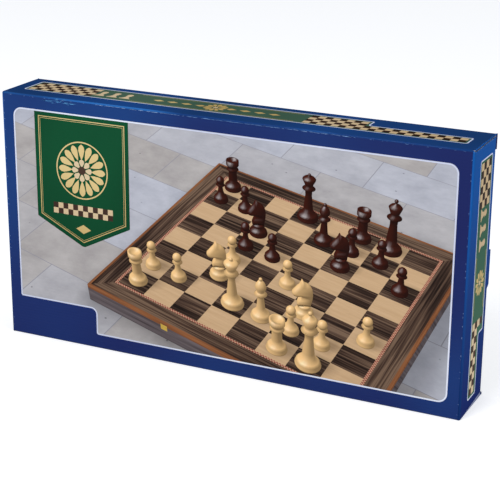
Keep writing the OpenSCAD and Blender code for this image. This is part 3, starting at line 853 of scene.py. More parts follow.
PROFILES = {
    "pawn": foot(13) + [(5, 19), (4, 27), (4.4, 29), (8.4, 31), (4.6, 33)] + ball(7.4, 39),
    "rook": foot(15.5) + [(8, 20), (7.2, 34), (8, 37), (11, 38.5), (9, 40.5), (9.2, 44), (11.6, 47),
                          (11.6, 55), (8.4, 55), (8.4, 52), (0, 52)],
    "bishop": foot(15.5) + [(6.5, 20), (5, 36), (5.5, 42), (10, 44), (6, 46.5), (5.5, 49), (8.6, 55),
                            (7.4, 61), (3.4, 67)] + ball(2.8, 69.5, -40),
    "queen": foot(18) + [(8, 22), (5.6, 44), (6, 55), (11.4, 57), (6.6, 60), (7, 64), (11.6, 74),
                         (9.4, 76.5), (4.4, 79)] + ball(3, 81, -40),
    "king": foot(18.5) + [(8.6, 24), (6, 48), (6.4, 60), (12, 62), (7, 65), (7.4, 70), (11, 80),
                          (8, 83.5), (2, 86), (1.8, 88)] + ball(3.2, 91, -60),
    "knight": foot(15.5) + [(10, 17), (8.5, 19), (0, 20)],
}
# Outline of the knight's head, and its layers as (depth, share of the outline)
HORSE = [(-10, 17), (10, 17), (11, 22), (9, 27), (6, 31), (5, 35), (7, 38), (12, 37), (17, 37), (19, 40),
         (18.5, 43), (15, 47), (11, 52), (8, 55), (6, 59), (4, 64), (1, 59), (-4, 57), (-9, 53), (-12, 47),
         (-13, 39), (-12.5, 31), (-11, 24)]
HORSE_MIDDLE = Vector((0, 38))
HORSE_LAYERS = ((-6.5, 0.72), (-4, 0.95), (0, 1.0), (4, 0.95), (6.5, 0.72))
HORSE_TURN = Matrix.Rotation(math.radians(190), 3, "Z")


print("profiles", {kind: len(profile) for kind, profile in PROFILES.items()})

# %% [markdown]
# A man's mesh is made once for each that stands on the board, and only its points, faces and
# normals are kept, because the print is flattened from them.


# %% Turned surfaces
def lathe(profile, segments=20):
    """A surface of revolution."""
    verts, faces = [], []
    for radius, height in profile:
        turns = [2 * math.pi * k / segments for k in range(segments)]
        verts += [(radius * math.cos(turn), radius * math.sin(turn), height) for turn in turns]
    for row in range(len(profile) - 1):
        for k in range(segments):
            a, b = row * segments + k, row * segments + (k + 1) % segments
            faces.append([a, b, b + segments, a + segments])
    return verts, faces


def horse_head():
    """The knight's head: its outline at five depths, drawn in at the cheeks."""
    verts, faces = [], []
    count = len(HORSE)
    for depth, share in HORSE_LAYERS:
        for x, z in HORSE:
            spot = HORSE_MIDDLE + (Vector((x, z)) - HORSE_MIDDLE) * share
            verts.append(HORSE_TURN @ Vector((spot.x, depth, spot.y)))
    for row in range(len(HORSE_LAYERS) - 1):
        for k in range(count):
            a, b = row * count + k, row * count + (k + 1) % count
            faces.append([b, a, a + count, b + count])
    last = (len(HORSE_LAYERS) - 1) * count
    for base, order in ((0, 1), (last, -1)):
        for triangle in tessellate_polygon([[Vector((x, z, 0)) for x, z in HORSE]]):
            faces.append([base + i for i in triangle][::order])
    return verts, faces


# Points closer than this, in millimetres, are one, as at the pole of a ball
SAME_POINT = 0.01


def turned_man(kind):
    """A man's points with their normals, and its faces with theirs, all of them outwards."""
    verts, faces = lathe(PROFILES[kind])
    if kind == "knight":
        more, extra = horse_head()
        faces += [[i + len(verts) for i in face] for face in extra]
        verts = verts + [tuple(v) for v in more]
    mesh = bpy.data.meshes.new("man")
    mesh.from_pydata([tuple(v) for v in verts], [], faces)
    bm = bmesh.new()
    bm.from_mesh(mesh)
    bmesh.ops.remove_doubles(bm, verts=bm.verts, dist=SAME_POINT)
    bmesh.ops.recalc_face_normals(bm, faces=bm.faces)
    bm.to_mesh(mesh)
    bm.free()
    result = ([v.co.copy() for v in mesh.vertices], [v.normal.copy() for v in mesh.vertices],
              [list(p.vertices) for p in mesh.polygons], [p.normal.copy() for p in mesh.polygons])
    bpy.data.meshes.remove(mesh)
    return result


print("points of the knight's head", len(horse_head()[0]))

# %% [markdown]
# The men stand on their squares as (kind, file, rank), with files and ranks from 0. Each point of
# a man takes its colour from the wood, a soft lamp and a highlight.

# %% Printed men
SQUARE = 55
MAN_SCALE = 1.12
LIGHT_MEN = [("king", 6, 0), ("rook", 5, 0), ("rook", 0, 0), ("queen", 3, 1), ("pawn", 0, 1),
             ("pawn", 1, 1), ("bishop", 4, 1), ("pawn", 5, 1), ("pawn", 6, 1), ("pawn", 7, 2),
             ("knight", 2, 2), ("knight", 5, 2), ("pawn", 2, 3), ("pawn", 4, 3)]
DARK_MEN = [("king", 6, 7), ("rook", 5, 7), ("rook", 0, 7), ("queen", 3, 7), ("pawn", 0, 6),
            ("pawn", 1, 6), ("bishop", 4, 6), ("pawn", 5, 6), ("pawn", 6, 6), ("pawn", 7, 5),
            ("knight", 2, 5), ("knight", 5, 5), ("pawn", 2, 4), ("pawn", 3, 4)]
# The wood and the gloss of each colour's men
MEN_WOODS = {"light": ("e8bd82", 0.25), "dark": ("3e1408", 0.4)}
# The men are printed over the board, each a little over the one behind it, in layers of ink
MEN_LAYER, NEXT_MAN, LAYER_PER_DEPTH = 5, 0.06, 0.001


def stand(file, rank):
    """The middle of a square on the turned board."""
    return board_spin @ Vector(((file - 3.5) * SQUARE, (rank - 3.5) * SQUARE, 0))


def lit(base, normal, point, gloss):
    """Colour of a point of the set-up: a soft lamp, light from all round and a highlight."""
    to_eye = (eye - point).normalized()
    soft = max(0, normal.dot(LIGHT)) * 0.75 + 0.2 * (normal.z + 1) + 0.1
    shine = gloss * max(0, normal.dot((LIGHT + to_eye).normalized())) ** 28
    return [min(1, c * soft + shine) for c in base]


def print_men():
    """Points, faces and colours of all the men, flattened onto the panel from the far ones on."""
    men = []
    for word, group in (("light", LIGHT_MEN), ("dark", DARK_MEN)):
        for kind, file, rank in group:
            verts, normals, faces, flats = turned_man(kind)
            spot = stand(file, rank)
            men.append((word, [v * MAN_SCALE + spot for v in verts], normals, faces, flats))
    men.sort(key=lambda man: -(man[1][0] - eye).length)
    every_vert, every_face = [], []
    for _, verts, _, faces, _ in men:
        every_face += [[i + len(every_vert) for i in face] for face in faces]
        every_vert += verts
    tree = BVHTree.FromPolygons(every_vert, every_face)

    def seen(point, normal):
        """Whether nothing stands between a point and the pinhole."""
        ray = (eye - point).normalized()
        return tree.ray_cast(point + normal * 0.2 + ray * 0.4, ray)[0] is None

    verts, faces, colours = [], [], []
    for order, (word, spots, normals, polygons, flats) in enumerate(men):
        code, gloss = MEN_WOODS[word]
        shown = [seen(p, n) for p, n in zip(spots, normals)]
        chosen = [f for f, n in zip(polygons, flats)
                  if n.dot(eye - spots[f[0]]) > 0 and any(shown[i] for i in f)]
        index = {}
        for face in chosen:
            for i in face:
                if i not in index:
                    index[i] = len(verts)
                    u, v = pictured(spots[i])
                    depth = (spots[i] - spots[0]).dot(eye_ahead)
                    lift = (MEN_LAYER + NEXT_MAN * order - LAYER_PER_DEPTH * depth) * LAYER
                    verts.append(front_place(u * MM, v * MM, lift))
                    colours += [*lit(linear(code)[:3], normals[i], spots[i], gloss), 1.0]
            faces.append([index[i] for i in face])
    return verts, faces, colours


def picture_wood(material):
    """The colour that each point of the men carries."""
    return add(material, "Attribute", {"attribute_name": "lit"}).outputs["Color"]


men_verts, men_faces, men_colours = print_men()
men_ink = varnished("halftone_ink_of_the_men", "Z", picture_wood)
men_piece = make_piece("front_print_men", ROOT, men_verts, men_faces, [men_ink],
                       smooth=True)
lit_colours = men_piece.data.color_attributes.new("lit", "FLOAT_COLOR", "POINT")
lit_colours.data.foreach_set("color", men_colours)
print("men of the picture:", len(LIGHT_MEN) + len(DARK_MEN), "faces", len(men_faces))

# %% [markdown]
# The board, its sides and the slabs are flat patches. A patch seen in perspective has to be cut
# into small quads, because a texture is stretched evenly over each quad. Each patch carries its
# own millimetres as a UV map, so that grain and slabs keep their real scale, and a shade for each
# point, which holds the soft shadows under the men and round the board.

# %% Board and slabs of the picture
BOARD_HALF = 4 * SQUARE
ROPE_WIDTH, BORDER, LIP, SIDE_HEIGHT = 5, 32, 5, 34
BOARD_EDGE = BOARD_HALF + ROPE_WIDTH + BORDER + LIP
LIP_HEIGHT = LIP * 1.4
# The corner, sides and cells of the slabs' patch, in millimetres of the set-up
GROUND_CORNER, GROUND_SIZE, GROUND_CELLS = (-1300, -420, -SIDE_HEIGHT), (2500, 2200), (130, 110)
BORDER_CELLS = 24
# Each shadow falls this far to the side of what casts it, and ends at this reach
MEN_SHADOW, BOARD_SHADOW = Vector((12, 5, 0)), Vector((16, 8, 0))
SMALL_REACH, LARGE_REACH, BOARD_REACH = 26, 34, 60
CATCH_WIDTH, CATCH_HEIGHT, CATCH_DROP = 13, 11, 4
SLAB, DARK, PALE, ROPE_INK, LIP_INK, SIDE_INK, BRASS_INK = range(7)


def men_shade(point):
    """Soft shadow of the men on the board at a point of the set-up."""
    shade = 1.0
    for kind, file, rank in LIGHT_MEN + DARK_MEN:
        reach = SMALL_REACH if kind in ("pawn", "knight") else LARGE_REACH
        away = point - stand(file, rank) - MEN_SHADOW
        shade *= 1 - 0.45 * (1 - smooth_step(8, reach, Vector((away.x * 0.75, away.y, 0)).length))
    return shade


def ground_shade(point):
    """Soft shadow of the board on the slabs."""
    local = board_spin.inverted() @ (point - BOARD_SHADOW)
    outside = Vector((max(0, abs(local.x) - BOARD_EDGE), max(0, abs(local.y) - BOARD_EDGE))).length
    return 1 - 0.5 * (1 - smooth_step(0, BOARD_REACH, outside))


def spun(x, y, z=0.0):
    """A direction or place on the turned board."""
    return board_spin @ Vector((x, y, z))


class PictureSheet:
    """Faces of the set-up, flattened onto the panel. Each point has its own millimetres as its UV
    and a shade."""

    def __init__(self):
        self.verts, self.faces, self.picks, self.uv, self.shade = [], [], [], [], []

    def point(self, spot, layer, pair, shade):
        u, v = pictured(spot)
        self.verts.append(front_place(u * MM, v * MM, layer * LAYER))
        self.uv.append((pair[0] * MM, pair[1] * MM))
        self.shade.append(shade(spot) if callable(shade) else shade)

    def patch(self, pick, layer, corner, along, across, cells, shade):
        """A parallelogram of the set-up, cut into cells."""
        corner, along, across = Vector(corner), Vector(along), Vector(across)
        start, row = len(self.verts), cells[0] + 1
        for j in range(cells[1] + 1):
            for i in range(row):
                spot = corner + along * (i / cells[0]) + across * (j / cells[1])
                flat = board_spin.inverted() @ spot
                self.point(spot, layer, (flat.x, flat.y + flat.z), shade)
        for j in range(cells[1]):
            for a in range(start + j * row, start + j * row + cells[0]):
                self.faces.append([a, a + 1, a + 1 + row, a + row])
                self.picks.append(pick)

    def border(self, pick, layer, inner, outer, turn):
        """One mitred side of the board's border between two half widths, turned a quarter at a time.
        Its UV runs along it, so the grain turns with it."""
        spin = Matrix.Rotation(math.pi / 2 * turn, 3, "Z")
        for k in range(BORDER_CELLS):
            low, high = 2 * k / BORDER_CELLS - 1, 2 * (k + 1) / BORDER_CELLS - 1
            start = len(self.verts)
            for share, half in ((low, inner), (low, outer), (high, outer), (high, inner)):
                spot = Vector((share * half, -half, 0))
                self.point(board_spin @ (spin @ spot), layer, spot, men_shade)
            self.faces.append([start, start + 1, start + 2, start + 3])
            self.picks.append(pick)


print("the pictured board is", 2 * BOARD_EDGE, "mm wide")

# %% [markdown]
# The slabs are one large patch, each square of the board is a small one, and the border is made of
# mitred sides. Only the sides of the board that face the pinhole are drawn, with two brass catches
# on the nearest one.

# %% Patches of the picture
setting = PictureSheet()
setting.patch(SLAB, 1, GROUND_CORNER, (GROUND_SIZE[0], 0, 0), (0, GROUND_SIZE[1], 0), GROUND_CELLS,
              ground_shade)
for i in range(8):
    for j in range(8):
        corner = stand(i, j) - spun(SQUARE / 2, SQUARE / 2)
        setting.patch(PALE if (i + j) % 2 else DARK, 3, corner, spun(SQUARE, 0), spun(0, SQUARE), (5, 5),
                      men_shade)
for turn in range(4):
    reach = BOARD_HALF
    for pick, width in ((ROPE_INK, ROPE_WIDTH), (DARK, BORDER), (LIP_INK, LIP)):
        setting.border(pick, 3, reach, reach + width, turn)
        reach += width
drop = Vector((0, 0, -LIP_HEIGHT))
for corner, along in ((spun(-BOARD_EDGE, -BOARD_EDGE), spun(2 * BOARD_EDGE, 0)),
                      (spun(-BOARD_EDGE, BOARD_EDGE), spun(0, -2 * BOARD_EDGE)),
                      (spun(BOARD_EDGE, -BOARD_EDGE), spun(0, 2 * BOARD_EDGE))):
    outward = along.cross(Vector((0, 0, 1)))
    if outward.dot(eye) > 0:
        brightness = 1.0 if outward.x < 0 else 0.75
        setting.patch(LIP_INK, 3, corner, along, drop, (BORDER_CELLS, 1), brightness)
        setting.patch(SIDE_INK, 3, corner + drop, along, (0, 0, LIP_HEIGHT - SIDE_HEIGHT),
                      (BORDER_CELLS, 1), brightness)
for share in (0.3, 0.7):
    corner = spun(-BOARD_EDGE + 2 * BOARD_EDGE * share, -BOARD_EDGE, -CATCH_DROP)
    setting.patch(BRASS_INK, 3.6, corner, spun(CATCH_WIDTH, 0), (0, 0, -CATCH_HEIGHT), (1, 1), 1.0)
print("points of the board and the slabs", len(setting.verts))

# %% [markdown]
# The inks of the picture are recipes for stone, veneer, rope inlay and brass. They read the
# picture's own UV map, and the shade of each point darkens them.


# %% Inks of the picture
def shaded(material, colour):
    """A printed colour, darkened by the shade that its points carry."""
    shade = add(material, "Attribute", {"attribute_name": "shade"})
    mixed = add(material, "Mix", {"data_type": "RGBA", "blend_type": "MULTIPLY", 0: 1.0})
    material.node_tree.links.new(colour, mixed.inputs[6])
    material.node_tree.links.new(shade.outputs["Color"], mixed.inputs[7])
    return mixed.outputs[2]


def slabs(material):
    """Pale concrete slabs in running bond, warm and cool in turn, with blotches and pores."""
    place = add(material, "UVMap", {"uv_map": "picture"}).outputs["UV"]
    blotch = add(material, "TexNoise", {"Scale": 14.0, "Detail": 5.0, "Roughness": 0.65}, {"Vector": place})
    cool = ramp(material, blotch.outputs["Fac"], [(0.3, "a6a8b3"), (0.7, "bec0ca")])
    warm = ramp(material, blotch.outputs["Fac"], [(0.3, "9b9592"), (0.7, "b5afab")])
    brick = add(material, "TexBrick", {"offset": 0.5, "Scale": 1.0, "Brick Width": 0.19, "Row Height": 0.13,
                                       "Mortar Size": 0.0012, "Mortar Smooth": 0.6, "Bias": 0.0,
                                       "Mortar": linear("8f8e96")},
                {"Vector": place, "Color1": cool, "Color2": warm})
    pores = add(material, "TexVoronoi", {"Scale": 22.0}, {"Vector": place})
    dots = ramp(material, pores.outputs["Distance"], [(0.03, "7a7a80"), (0.06, "ffffff")])
    mixed = add(material, "Mix", {"data_type": "RGBA", "blend_type": "MULTIPLY", 0: 0.6},
                {6: brick.outputs["Color"], 7: dots})
    return shaded(material, mixed.outputs[2])


def grained(stops, fine, coarse):
    """Veneer: streaks that run along the patch's U, fine across it."""
    def paint(material):
        place = add(material, "UVMap", {"uv_map": "picture"}).outputs["UV"]
        stretched = add(material, "Mapping", {"Scale": (coarse, fine, 1.0)}, {"Vector": place})
        streaks = add(material, "TexNoise", {"Scale": 1.0, "Detail": 3.0, "Roughness": 0.6},
                      {"Vector": stretched.outputs["Vector"]})
        return shaded(material, ramp(material, streaks.outputs["Fac"], stops))
    return paint


def rope(material):
    """Rope inlay: short red and cream blocks."""
    place = add(material, "UVMap", {"uv_map": "picture"}).outputs["UV"]
    blocks = add(material, "TexChecker", {"Scale": 1 / (2.5 * MM), "Color1": linear("8c3a35"),
                                          "Color2": linear("c09a7c")}, {"Vector": place})
    return shaded(material, blocks.outputs["Color"])


def zebra(material):
    """Zebrano-like veneer: fine streaks of uneven width in broader light and dark bands."""
    place = add(material, "UVMap", {"uv_map": "picture"}).outputs["UV"]
    bands = add(material, "Mapping", {"Scale": (3.0, 46.0, 1.0)}, {"Vector": place})
    broad = add(material, "TexNoise", {"Scale": 1.0, "Detail": 1.0}, {"Vector": bands.outputs["Vector"]})
    stretched = add(material, "Mapping", {"Scale": (5.0, 230.0, 1.0)}, {"Vector": place})
    fine = add(material, "TexNoise", {"Scale": 1.0, "Detail": 2.0, "Roughness": 0.6},
               {"Vector": stretched.outputs["Vector"]})
    both = add(material, "Mix", {"data_type": "FLOAT", 0: 0.42},
               {2: fine.outputs["Fac"], 3: broad.outputs["Fac"]})
    return shaded(material, ramp(material, both.outputs["Result"], [
        (0.38, "1a110d"), (0.46, "33241d"), (0.52, "4e3b30"), (0.61, "755e4c")]))


picture_inks = [varnished("printed_" + word, "Z", paint) for word, paint in (
    ("stone_slabs", slabs), ("dark_streaky_veneer", zebra),
    ("pale_veneer", grained([(0.2, "bc9a74"), (0.8, "cfae88")], 160.0, 12.0)), ("rope_inlay", rope),
    ("orange_brown_edge", grained([(0.3, "6b3f27"), (0.7, "96613d")], 200.0, 8.0)),
    ("grey_brown_side", grained([(0.3, "40383a"), (0.7, "6a6062")], 160.0, 6.0)),
    ("brass_catch", grained([(0.3, "a8842f"), (0.7, "d6b659")], 90.0, 90.0)))]
print("inks of the picture", [ink.name for ink in picture_inks])

# %% [markdown]
# The patches become one piece, and what lies outside the picture field is cut away from it and
# from the men.


# %% Printed board and slabs
def print_board():
    """The board and slabs as one piece, with its UV map and its shades."""
    piece = make_piece("front_print_picture", ROOT, setting.verts, setting.faces,
                       picture_inks, setting.picks)
    mesh = piece.data
    layer = mesh.uv_layers.new(name="picture")
    layer.data.foreach_set("uv", [c for loop in mesh.loops for c in setting.uv[loop.vertex_index]])
    mesh.attributes.new("shade", "FLOAT", "POINT").data.foreach_set("value", setting.shade)
    return piece


def trim_to_field(piece):
    """Cuts away what lies outside the picture field and turns every face outwards."""
    bm = bmesh.new()
    bm.from_mesh(piece.data)
    low, high = front_place(LEFT * MM, BOTTOM * MM, 0), front_place(RIGHT * MM, TOP * MM, 0)
    for point, normal in ((low, (-1, 0, 0)), (low, (0, 0, -1)), (high, (1, 0, 0)), (high, (0, 0, 1))):
        bmesh.ops.bisect_plane(bm, geom=bm.verts[:] + bm.edges[:] + bm.faces[:], dist=1e-7,
                               plane_co=point, plane_no=normal, clear_outer=True)
    for face in bm.faces:
        face.normal_update()
        if face.normal.y > 0:
            face.normal_flip()
    bm.to_mesh(piece.data)
    bm.free()


picture = print_board()
trim_to_field(picture)
trim_to_field(men_piece)
print("picture faces", len(picture.data.polygons))

# %% [markdown]
# Over the picture lies the navy frame with its white outline. The frame only has to be drawn where
# it crosses the picture, at the rounded corners and in the bare notch at the lower left.

# %% Frame and label of the front
front_ink = InkSheet("front_print_frame", ROOT, front_place, {"navy": navy_front, **inks["Z"]})
side_margin, level_margin = END_FOLD / MM + 0.25, FOLD / MM + 0.25
low_u, high_u = side_margin, 2 * HALF_W / MM - side_margin
low_v, high_v = level_margin, HEIGHT / MM - level_margin
around = [(low_u, low_v), (high_u, low_v), (high_u, high_v), (low_u, high_v)]
front_ink.shape("navy", 6.5, around, [rounded(FIELD)])
rule(front_ink, "white", 7, FIELD, -0.8, 1.6)

LABEL = ((40, 254, 0.4), (40, 140, 1.5), (96, 112, 6), (152, 140, 1.5), (152, 254, 0.4))
front_ink.shape("green", 6.5, rounded(LABEL))
rule(front_ink, "gold", 7, LABEL, 4.5, 0.9)
rule(front_ink, "gold", 7, LABEL, 6.6, 0.4)
ROSETTE = (96, 196)
front_ink.shape("gold", 7, disc(*ROSETTE, 31, 48), [disc(*ROSETTE, 29.6, 48)])
petals(front_ink, "gold", 7, *ROSETTE, 11, 28, 16)
petals(front_ink, "cream", 7.4, *ROSETTE, 3, 12, 8)
front_ink.shape("brown", 7.7, disc(*ROSETTE, 4.5))
chequers(front_ink, 7, 60, 146, 6, 12, 2)
front_ink.shape("gold", 7, lozenge(96, 132, 9, 5))
front_ink.done()
print("front frame and label", len(front_ink.faces), "triangles")

# %% [markdown]
# The narrow faces carry one strip design: a green band in a white outline, with chequer blocks at
# its ends, three little pawns, a rosette between lozenges, and a bare navy notch at one corner.
# It is drawn once along a line S and across it T, and each face says where S and T run.


# %% Strip design
def pawn_shape(s, t, size):
    """A pawn's silhouette that stands across the strip."""
    half = [(0.34, 0), (0.34, 0.1), (0.2, 0.2), (0.12, 0.45), (0.12, 0.55), (0.22, 0.6), (0.12, 0.66)]
    head = [(0.2 * math.cos(math.radians(d)), 0.82 + 0.2 * math.sin(math.radians(d)))
            for d in range(-50, 71, 40)]
    right = half + head
    outline = right + [(-x, y) for x, y in right[::-1]]
    return [(s + x * size, t + y * size) for x, y in outline]


STRIP_WIDTH, STRIP_MARGIN = 36, 3
CHEQUER = 7.5
PAWN_PITCH, PAWN_SIZE = 15, 18
LOZENGE_PITCH = 16
HAIRLINE = 0.7


def strip(name, body, place, palette, at, length, first, last, notch):
    """At gives the (u, v) of a point of the strip. First and last are the chequer blocks' lengths,
    and notch is the (start, depth) of the bare corner."""
    sheet = InkSheet(name, body, place, palette, at)
    start, depth = notch
    full, cut = STRIP_WIDTH, STRIP_WIDTH - depth
    outline = ((0, 0, 2.5), (length, 0, 2.5), (length, cut, 2), (start, cut, 4), (start, full, 1.5),
               (0, full, 2.5))
    sheet.shape("green", 1, rounded(outline))
    rows = int((cut - STRIP_MARGIN) / CHEQUER)
    last_s = length - STRIP_MARGIN - last
    chequers(sheet, 2, STRIP_MARGIN, STRIP_MARGIN, CHEQUER, int(first / CHEQUER), 4)
    chequers(sheet, 2, last_s, STRIP_MARGIN, CHEQUER, int(last / CHEQUER), rows)
    chequers(sheet, 2, last_s, STRIP_MARGIN + CHEQUER * rows, CHEQUER,
             int((start - STRIP_MARGIN - last_s) / CHEQUER), 4 - rows)
    rule(sheet, "white", 3, outline, -HAIRLINE, 2 * HAIRLINE)
    pawns = first + 10
    for k in range(3):
        sheet.shape("cream", 2, pawn_shape(pawns + PAWN_PITCH * k, PAWN_SIZE / 2, PAWN_SIZE))
    low, high = pawns + 40, length - last - 12
    centre = ((low + high) / 2, STRIP_WIDTH / 2)
    petals(sheet, "gold", 2, *centre, 3, 13, 12)
    sheet.shape("cream", 2, disc(*centre, 2.6, 16))
    for k in range(max(1, int((high - low) / 2 / LOZENGE_PITCH)) - 1):
        for sign in (-1, 1):
            reach = 17 + k * LOZENGE_PITCH
            sheet.shape("gold", 2, lozenge(centre[0] + sign * reach, centre[1], 6.5, 3.2))
    for t in (STRIP_MARGIN, STRIP_WIDTH - STRIP_MARGIN - HAIRLINE):
        sheet.shape("gold", 2, [(low, t), (high, t), (high, t + HAIRLINE), (low, t + HAIRLINE)])
    sheet.done()


def top_place(u, v, lift):
    """A point of the top, from its left end and its front edge."""
    return Vector((-HALF_W + u, -HALF_D + v, TOP_Z + lift))


def bottom_place(u, v, lift):
    """A point of the bottom, seen through from above."""
    return Vector((-HALF_W + u, -HALF_D + v, SKIN - lift))


long_strip = {"at": lambda s, t: (15 + s, 21 + t), "length": 485, "first": 75, "last": 165,
              "notch": (380, 16)}
end_strip = {"at": lambda s, t: (21 + t, 254 - s), "length": 241, "first": 45, "last": 75,
             "notch": (178, 13)}
strip("top_print_strip", ROOT, top_place, top_inks, **long_strip)
strip("bottom_print_strip", ROOT, bottom_place, top_inks, **long_strip)
for word, sign in (("right", 1), ("left", -1)):
    strip(word + "_print_strip", word + "_lid",
          lambda u, v, lift, side=sign: Vector((side * (RIGHT_X + lift), -HALF_D + u, v)), end_inks,
          **end_strip)

# %% [markdown]
# The back is never seen in the photograph, so its print is a plain one in the same colours.


# %% Back print
def back_print():
    """A flat board diagram and a rosette on a green field."""
    sheet = InkSheet("back_print", ROOT, lambda u, v, lift: Vector((HALF_W - u, BACK_Y + lift, v)),
                     {"navy": navy_front, **inks["Z"]})
    field = ((LEFT, BOTTOM, 9), (RIGHT, BOTTOM, 9), (RIGHT, TOP, 9), (LEFT, TOP, 9))
    sheet.shape("green", 1, rounded(field))
    rule(sheet, "white", 2, field, -1.0, 2.0)
    rule(sheet, "gold", 2, field, 6.0, 1.0)
    rule(sheet, "gold", 2, field, 8.4, 0.5)
    size, edge, middle = 22, 9, (BOTTOM + TOP) / 2
    low_u, low_v = 60, middle - 4 * size
    left, right, bottom, top = (low_u - edge, low_u + 8 * size + edge,
                                low_v - edge, low_v + 8 * size + edge)
    sheet.shape("brown", 2, [(left, bottom), (right, bottom), (right, top), (left, top)])
    chequers(sheet, 3, low_u, low_v, size, 8, 8)
    centre = (375, middle)
    sheet.shape("gold", 2, disc(*centre, 78, 72), [disc(*centre, 76.2, 72)])
    petals(sheet, "gold", 2, *centre, 38, 72, 24)
    petals(sheet, "cream", 3, *centre, 8, 37, 12)
    sheet.shape("brown", 4, disc(*centre, 9))
    sheet.done()


back_print()

# %% [markdown]
# ## Wear and painted highlights along the folds
# Where varnished board is folded, the ink cracks and small pale specks show. Along the top folds
# and the lids' upper rims some pale flecks are painted highlights, where the fold or the cut edge
# catches the light; just below the top fold the flutes catch the light in short bright dashes, painted
# glints. All are many small flecks strewn along a line, so one Geometry Nodes tree makes them:
# points on a line, moved and scaled at random from a fixed seed, with a small flat fleck on each.


# %% Flecks by Geometry Nodes
def fleck_tree():
    """Points on a line, each strayed at random, with a fleck of random size on each."""
    tree = bpy.data.node_groups.new("flecks_along_a_line", "GeometryNodeTree")
    face = tree.interface
    for name, kind in (("Start", "Vector"), ("End", "Vector"), ("Count", "Int"), ("Spread", "Vector"),
                       ("Turn", "Vector"), ("Smallest", "Vector"), ("Largest", "Vector"), ("Seed", "Int"),
                       ("Finish", "Material")):
        face.new_socket(name=name, in_out="INPUT", socket_type="NodeSocket" + kind)
    face.new_socket(name="Geometry", in_out="OUTPUT", socket_type="NodeSocketGeometry")
    made = {}

    def node(name, kind, values=None, links=None, **settings):
        made[name] = tree.nodes.new(kind)
        for key, value in settings.items():
            setattr(made[name], key, value)
        for key, value in (values or {}).items():
            made[name].inputs[key].default_value = value
        for key, (source, socket) in (links or {}).items():
            tree.links.new(made[source].outputs[socket], made[name].inputs[key])

    node("in", "NodeGroupInput")
    node("line", "GeometryNodeMeshLine", mode="END_POINTS",
         links={"Start Location": ("in", "Start"), "Offset": ("in", "End"), "Count": ("in", "Count")})
    node("minus", "ShaderNodeVectorMath", {1: (-1, -1, -1)}, {0: ("in", "Spread")}, operation="MULTIPLY")
    node("stray", "FunctionNodeRandomValue", data_type="FLOAT_VECTOR",
         links={0: ("minus", "Vector"), 1: ("in", "Spread"), "Seed": ("in", "Seed")})
    node("moved", "GeometryNodeSetPosition",
         links={"Geometry": ("line", "Mesh"), "Offset": ("stray", "Value")})
    node("fleck", "GeometryNodeMeshCircle", {"Vertices": 6, "Radius": 0.5}, fill_type="NGON")
    node("size", "FunctionNodeRandomValue", data_type="FLOAT_VECTOR",
         links={0: ("in", "Smallest"), 1: ("in", "Largest"), "Seed": ("in", "Seed")})
    node("strewn", "GeometryNodeInstanceOnPoints",
         links={"Points": ("moved", "Geometry"), "Instance": ("fleck", "Mesh"),
                "Rotation": ("in", "Turn"), "Scale": ("size", "Value")})
    node("real", "GeometryNodeRealizeInstances", links={"Geometry": ("strewn", "Instances")})
    node("finish", "GeometryNodeSetMaterial",
         links={"Geometry": ("real", "Geometry"), "Material": ("in", "Finish")})
    node("out", "NodeGroupOutput", links={"Geometry": ("finish", "Geometry")})
    return tree


flecks = fleck_tree()
sockets = {item.name: item.identifier for item in flecks.interface.items_tree if item.in_out == "INPUT"}


def strew(name, body, finish_material, **values):
    """Runs the tree with these inputs and keeps the result as a plain mesh that rides on a body."""
    carrier = bpy.data.objects.new(name + "_carrier", bpy.data.meshes.new(name))
    bpy.context.scene.collection.objects.link(carrier)
    modifier = carrier.modifiers.new("flecks", "NODES")
    modifier.node_group = flecks
    for key, value in values.items():
        modifier[sockets[key]] = value
    modifier[sockets["Finish"]] = finish_material
    bpy.context.view_layer.update()
    evaluated = carrier.evaluated_get(bpy.context.evaluated_depsgraph_get())
    mesh = bpy.data.meshes.new_from_object(evaluated)
    bpy.data.objects.remove(carrier)
    piece = bpy.data.objects.new(name, mesh)
    bpy.context.scene.collection.objects.link(piece)
    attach(piece, body)
    return piece


print("inputs of the tree", list(sockets))

# %% [markdown]
# Each line of flecks has its own ends, count, stray and sizes, and a fixed seed.

# %% Cracks and glints
# Pale ink for real cracks in the print and for painted highlights along the front's top fold and the lids'
# rims; the flat one paints the highlight of the top's end folds
cracks_and_highlights_ink = varnished("cracks_and_highlights_ink_material", "Z", uneven_ink("6f9ad0", "a9c4e8"))
fold_highlight_flat_ink = varnished("painted_fold_highlight_flat", "Y", uneven_ink("4f7cb4", "7fa4d0"))
glint = varnished("flute_glint", "Z", uneven_ink("3a86c8", "6fb4e0"))
UPRIGHT_FRONT = (math.radians(90), 0.0, 0.0)
UPRIGHT_RIGHT = (math.radians(90), 0.0, math.radians(90))
FLAT = (0.0, 0.0, 0.0)
# On the front they lie over the highest ink
near_y = FRONT_Y - 7.6 * LAYER
fold_z = TOP_Z - FOLD - 0.3 * MM
strew("front_fold_cracks_and_highlights", ROOT, cracks_and_highlights_ink, Start=(-HALF_W + 120 * MM, near_y, fold_z), Count=80,
      End=(HALF_W - 120 * MM, near_y, fold_z), Spread=(4 * MM, 0.0, 0.15 * MM), Turn=UPRIGHT_FRONT,
      Smallest=(0.8 * MM, 0.15 * MM, 1.0), Largest=(9.0 * MM, 0.4 * MM, 1.0), Seed=3)
strew("front_corner_cracks_and_highlights", ROOT, cracks_and_highlights_ink, Start=(-HALF_W + 8 * MM, near_y, fold_z), Count=60,
      End=(HALF_W - 4 * MM, near_y, fold_z), Spread=(8 * MM, 0.0, 0.1 * MM), Turn=UPRIGHT_FRONT,
      Smallest=(0.3 * MM, 0.1 * MM, 1.0), Largest=(3.0 * MM, 0.25 * MM, 1.0), Seed=4)
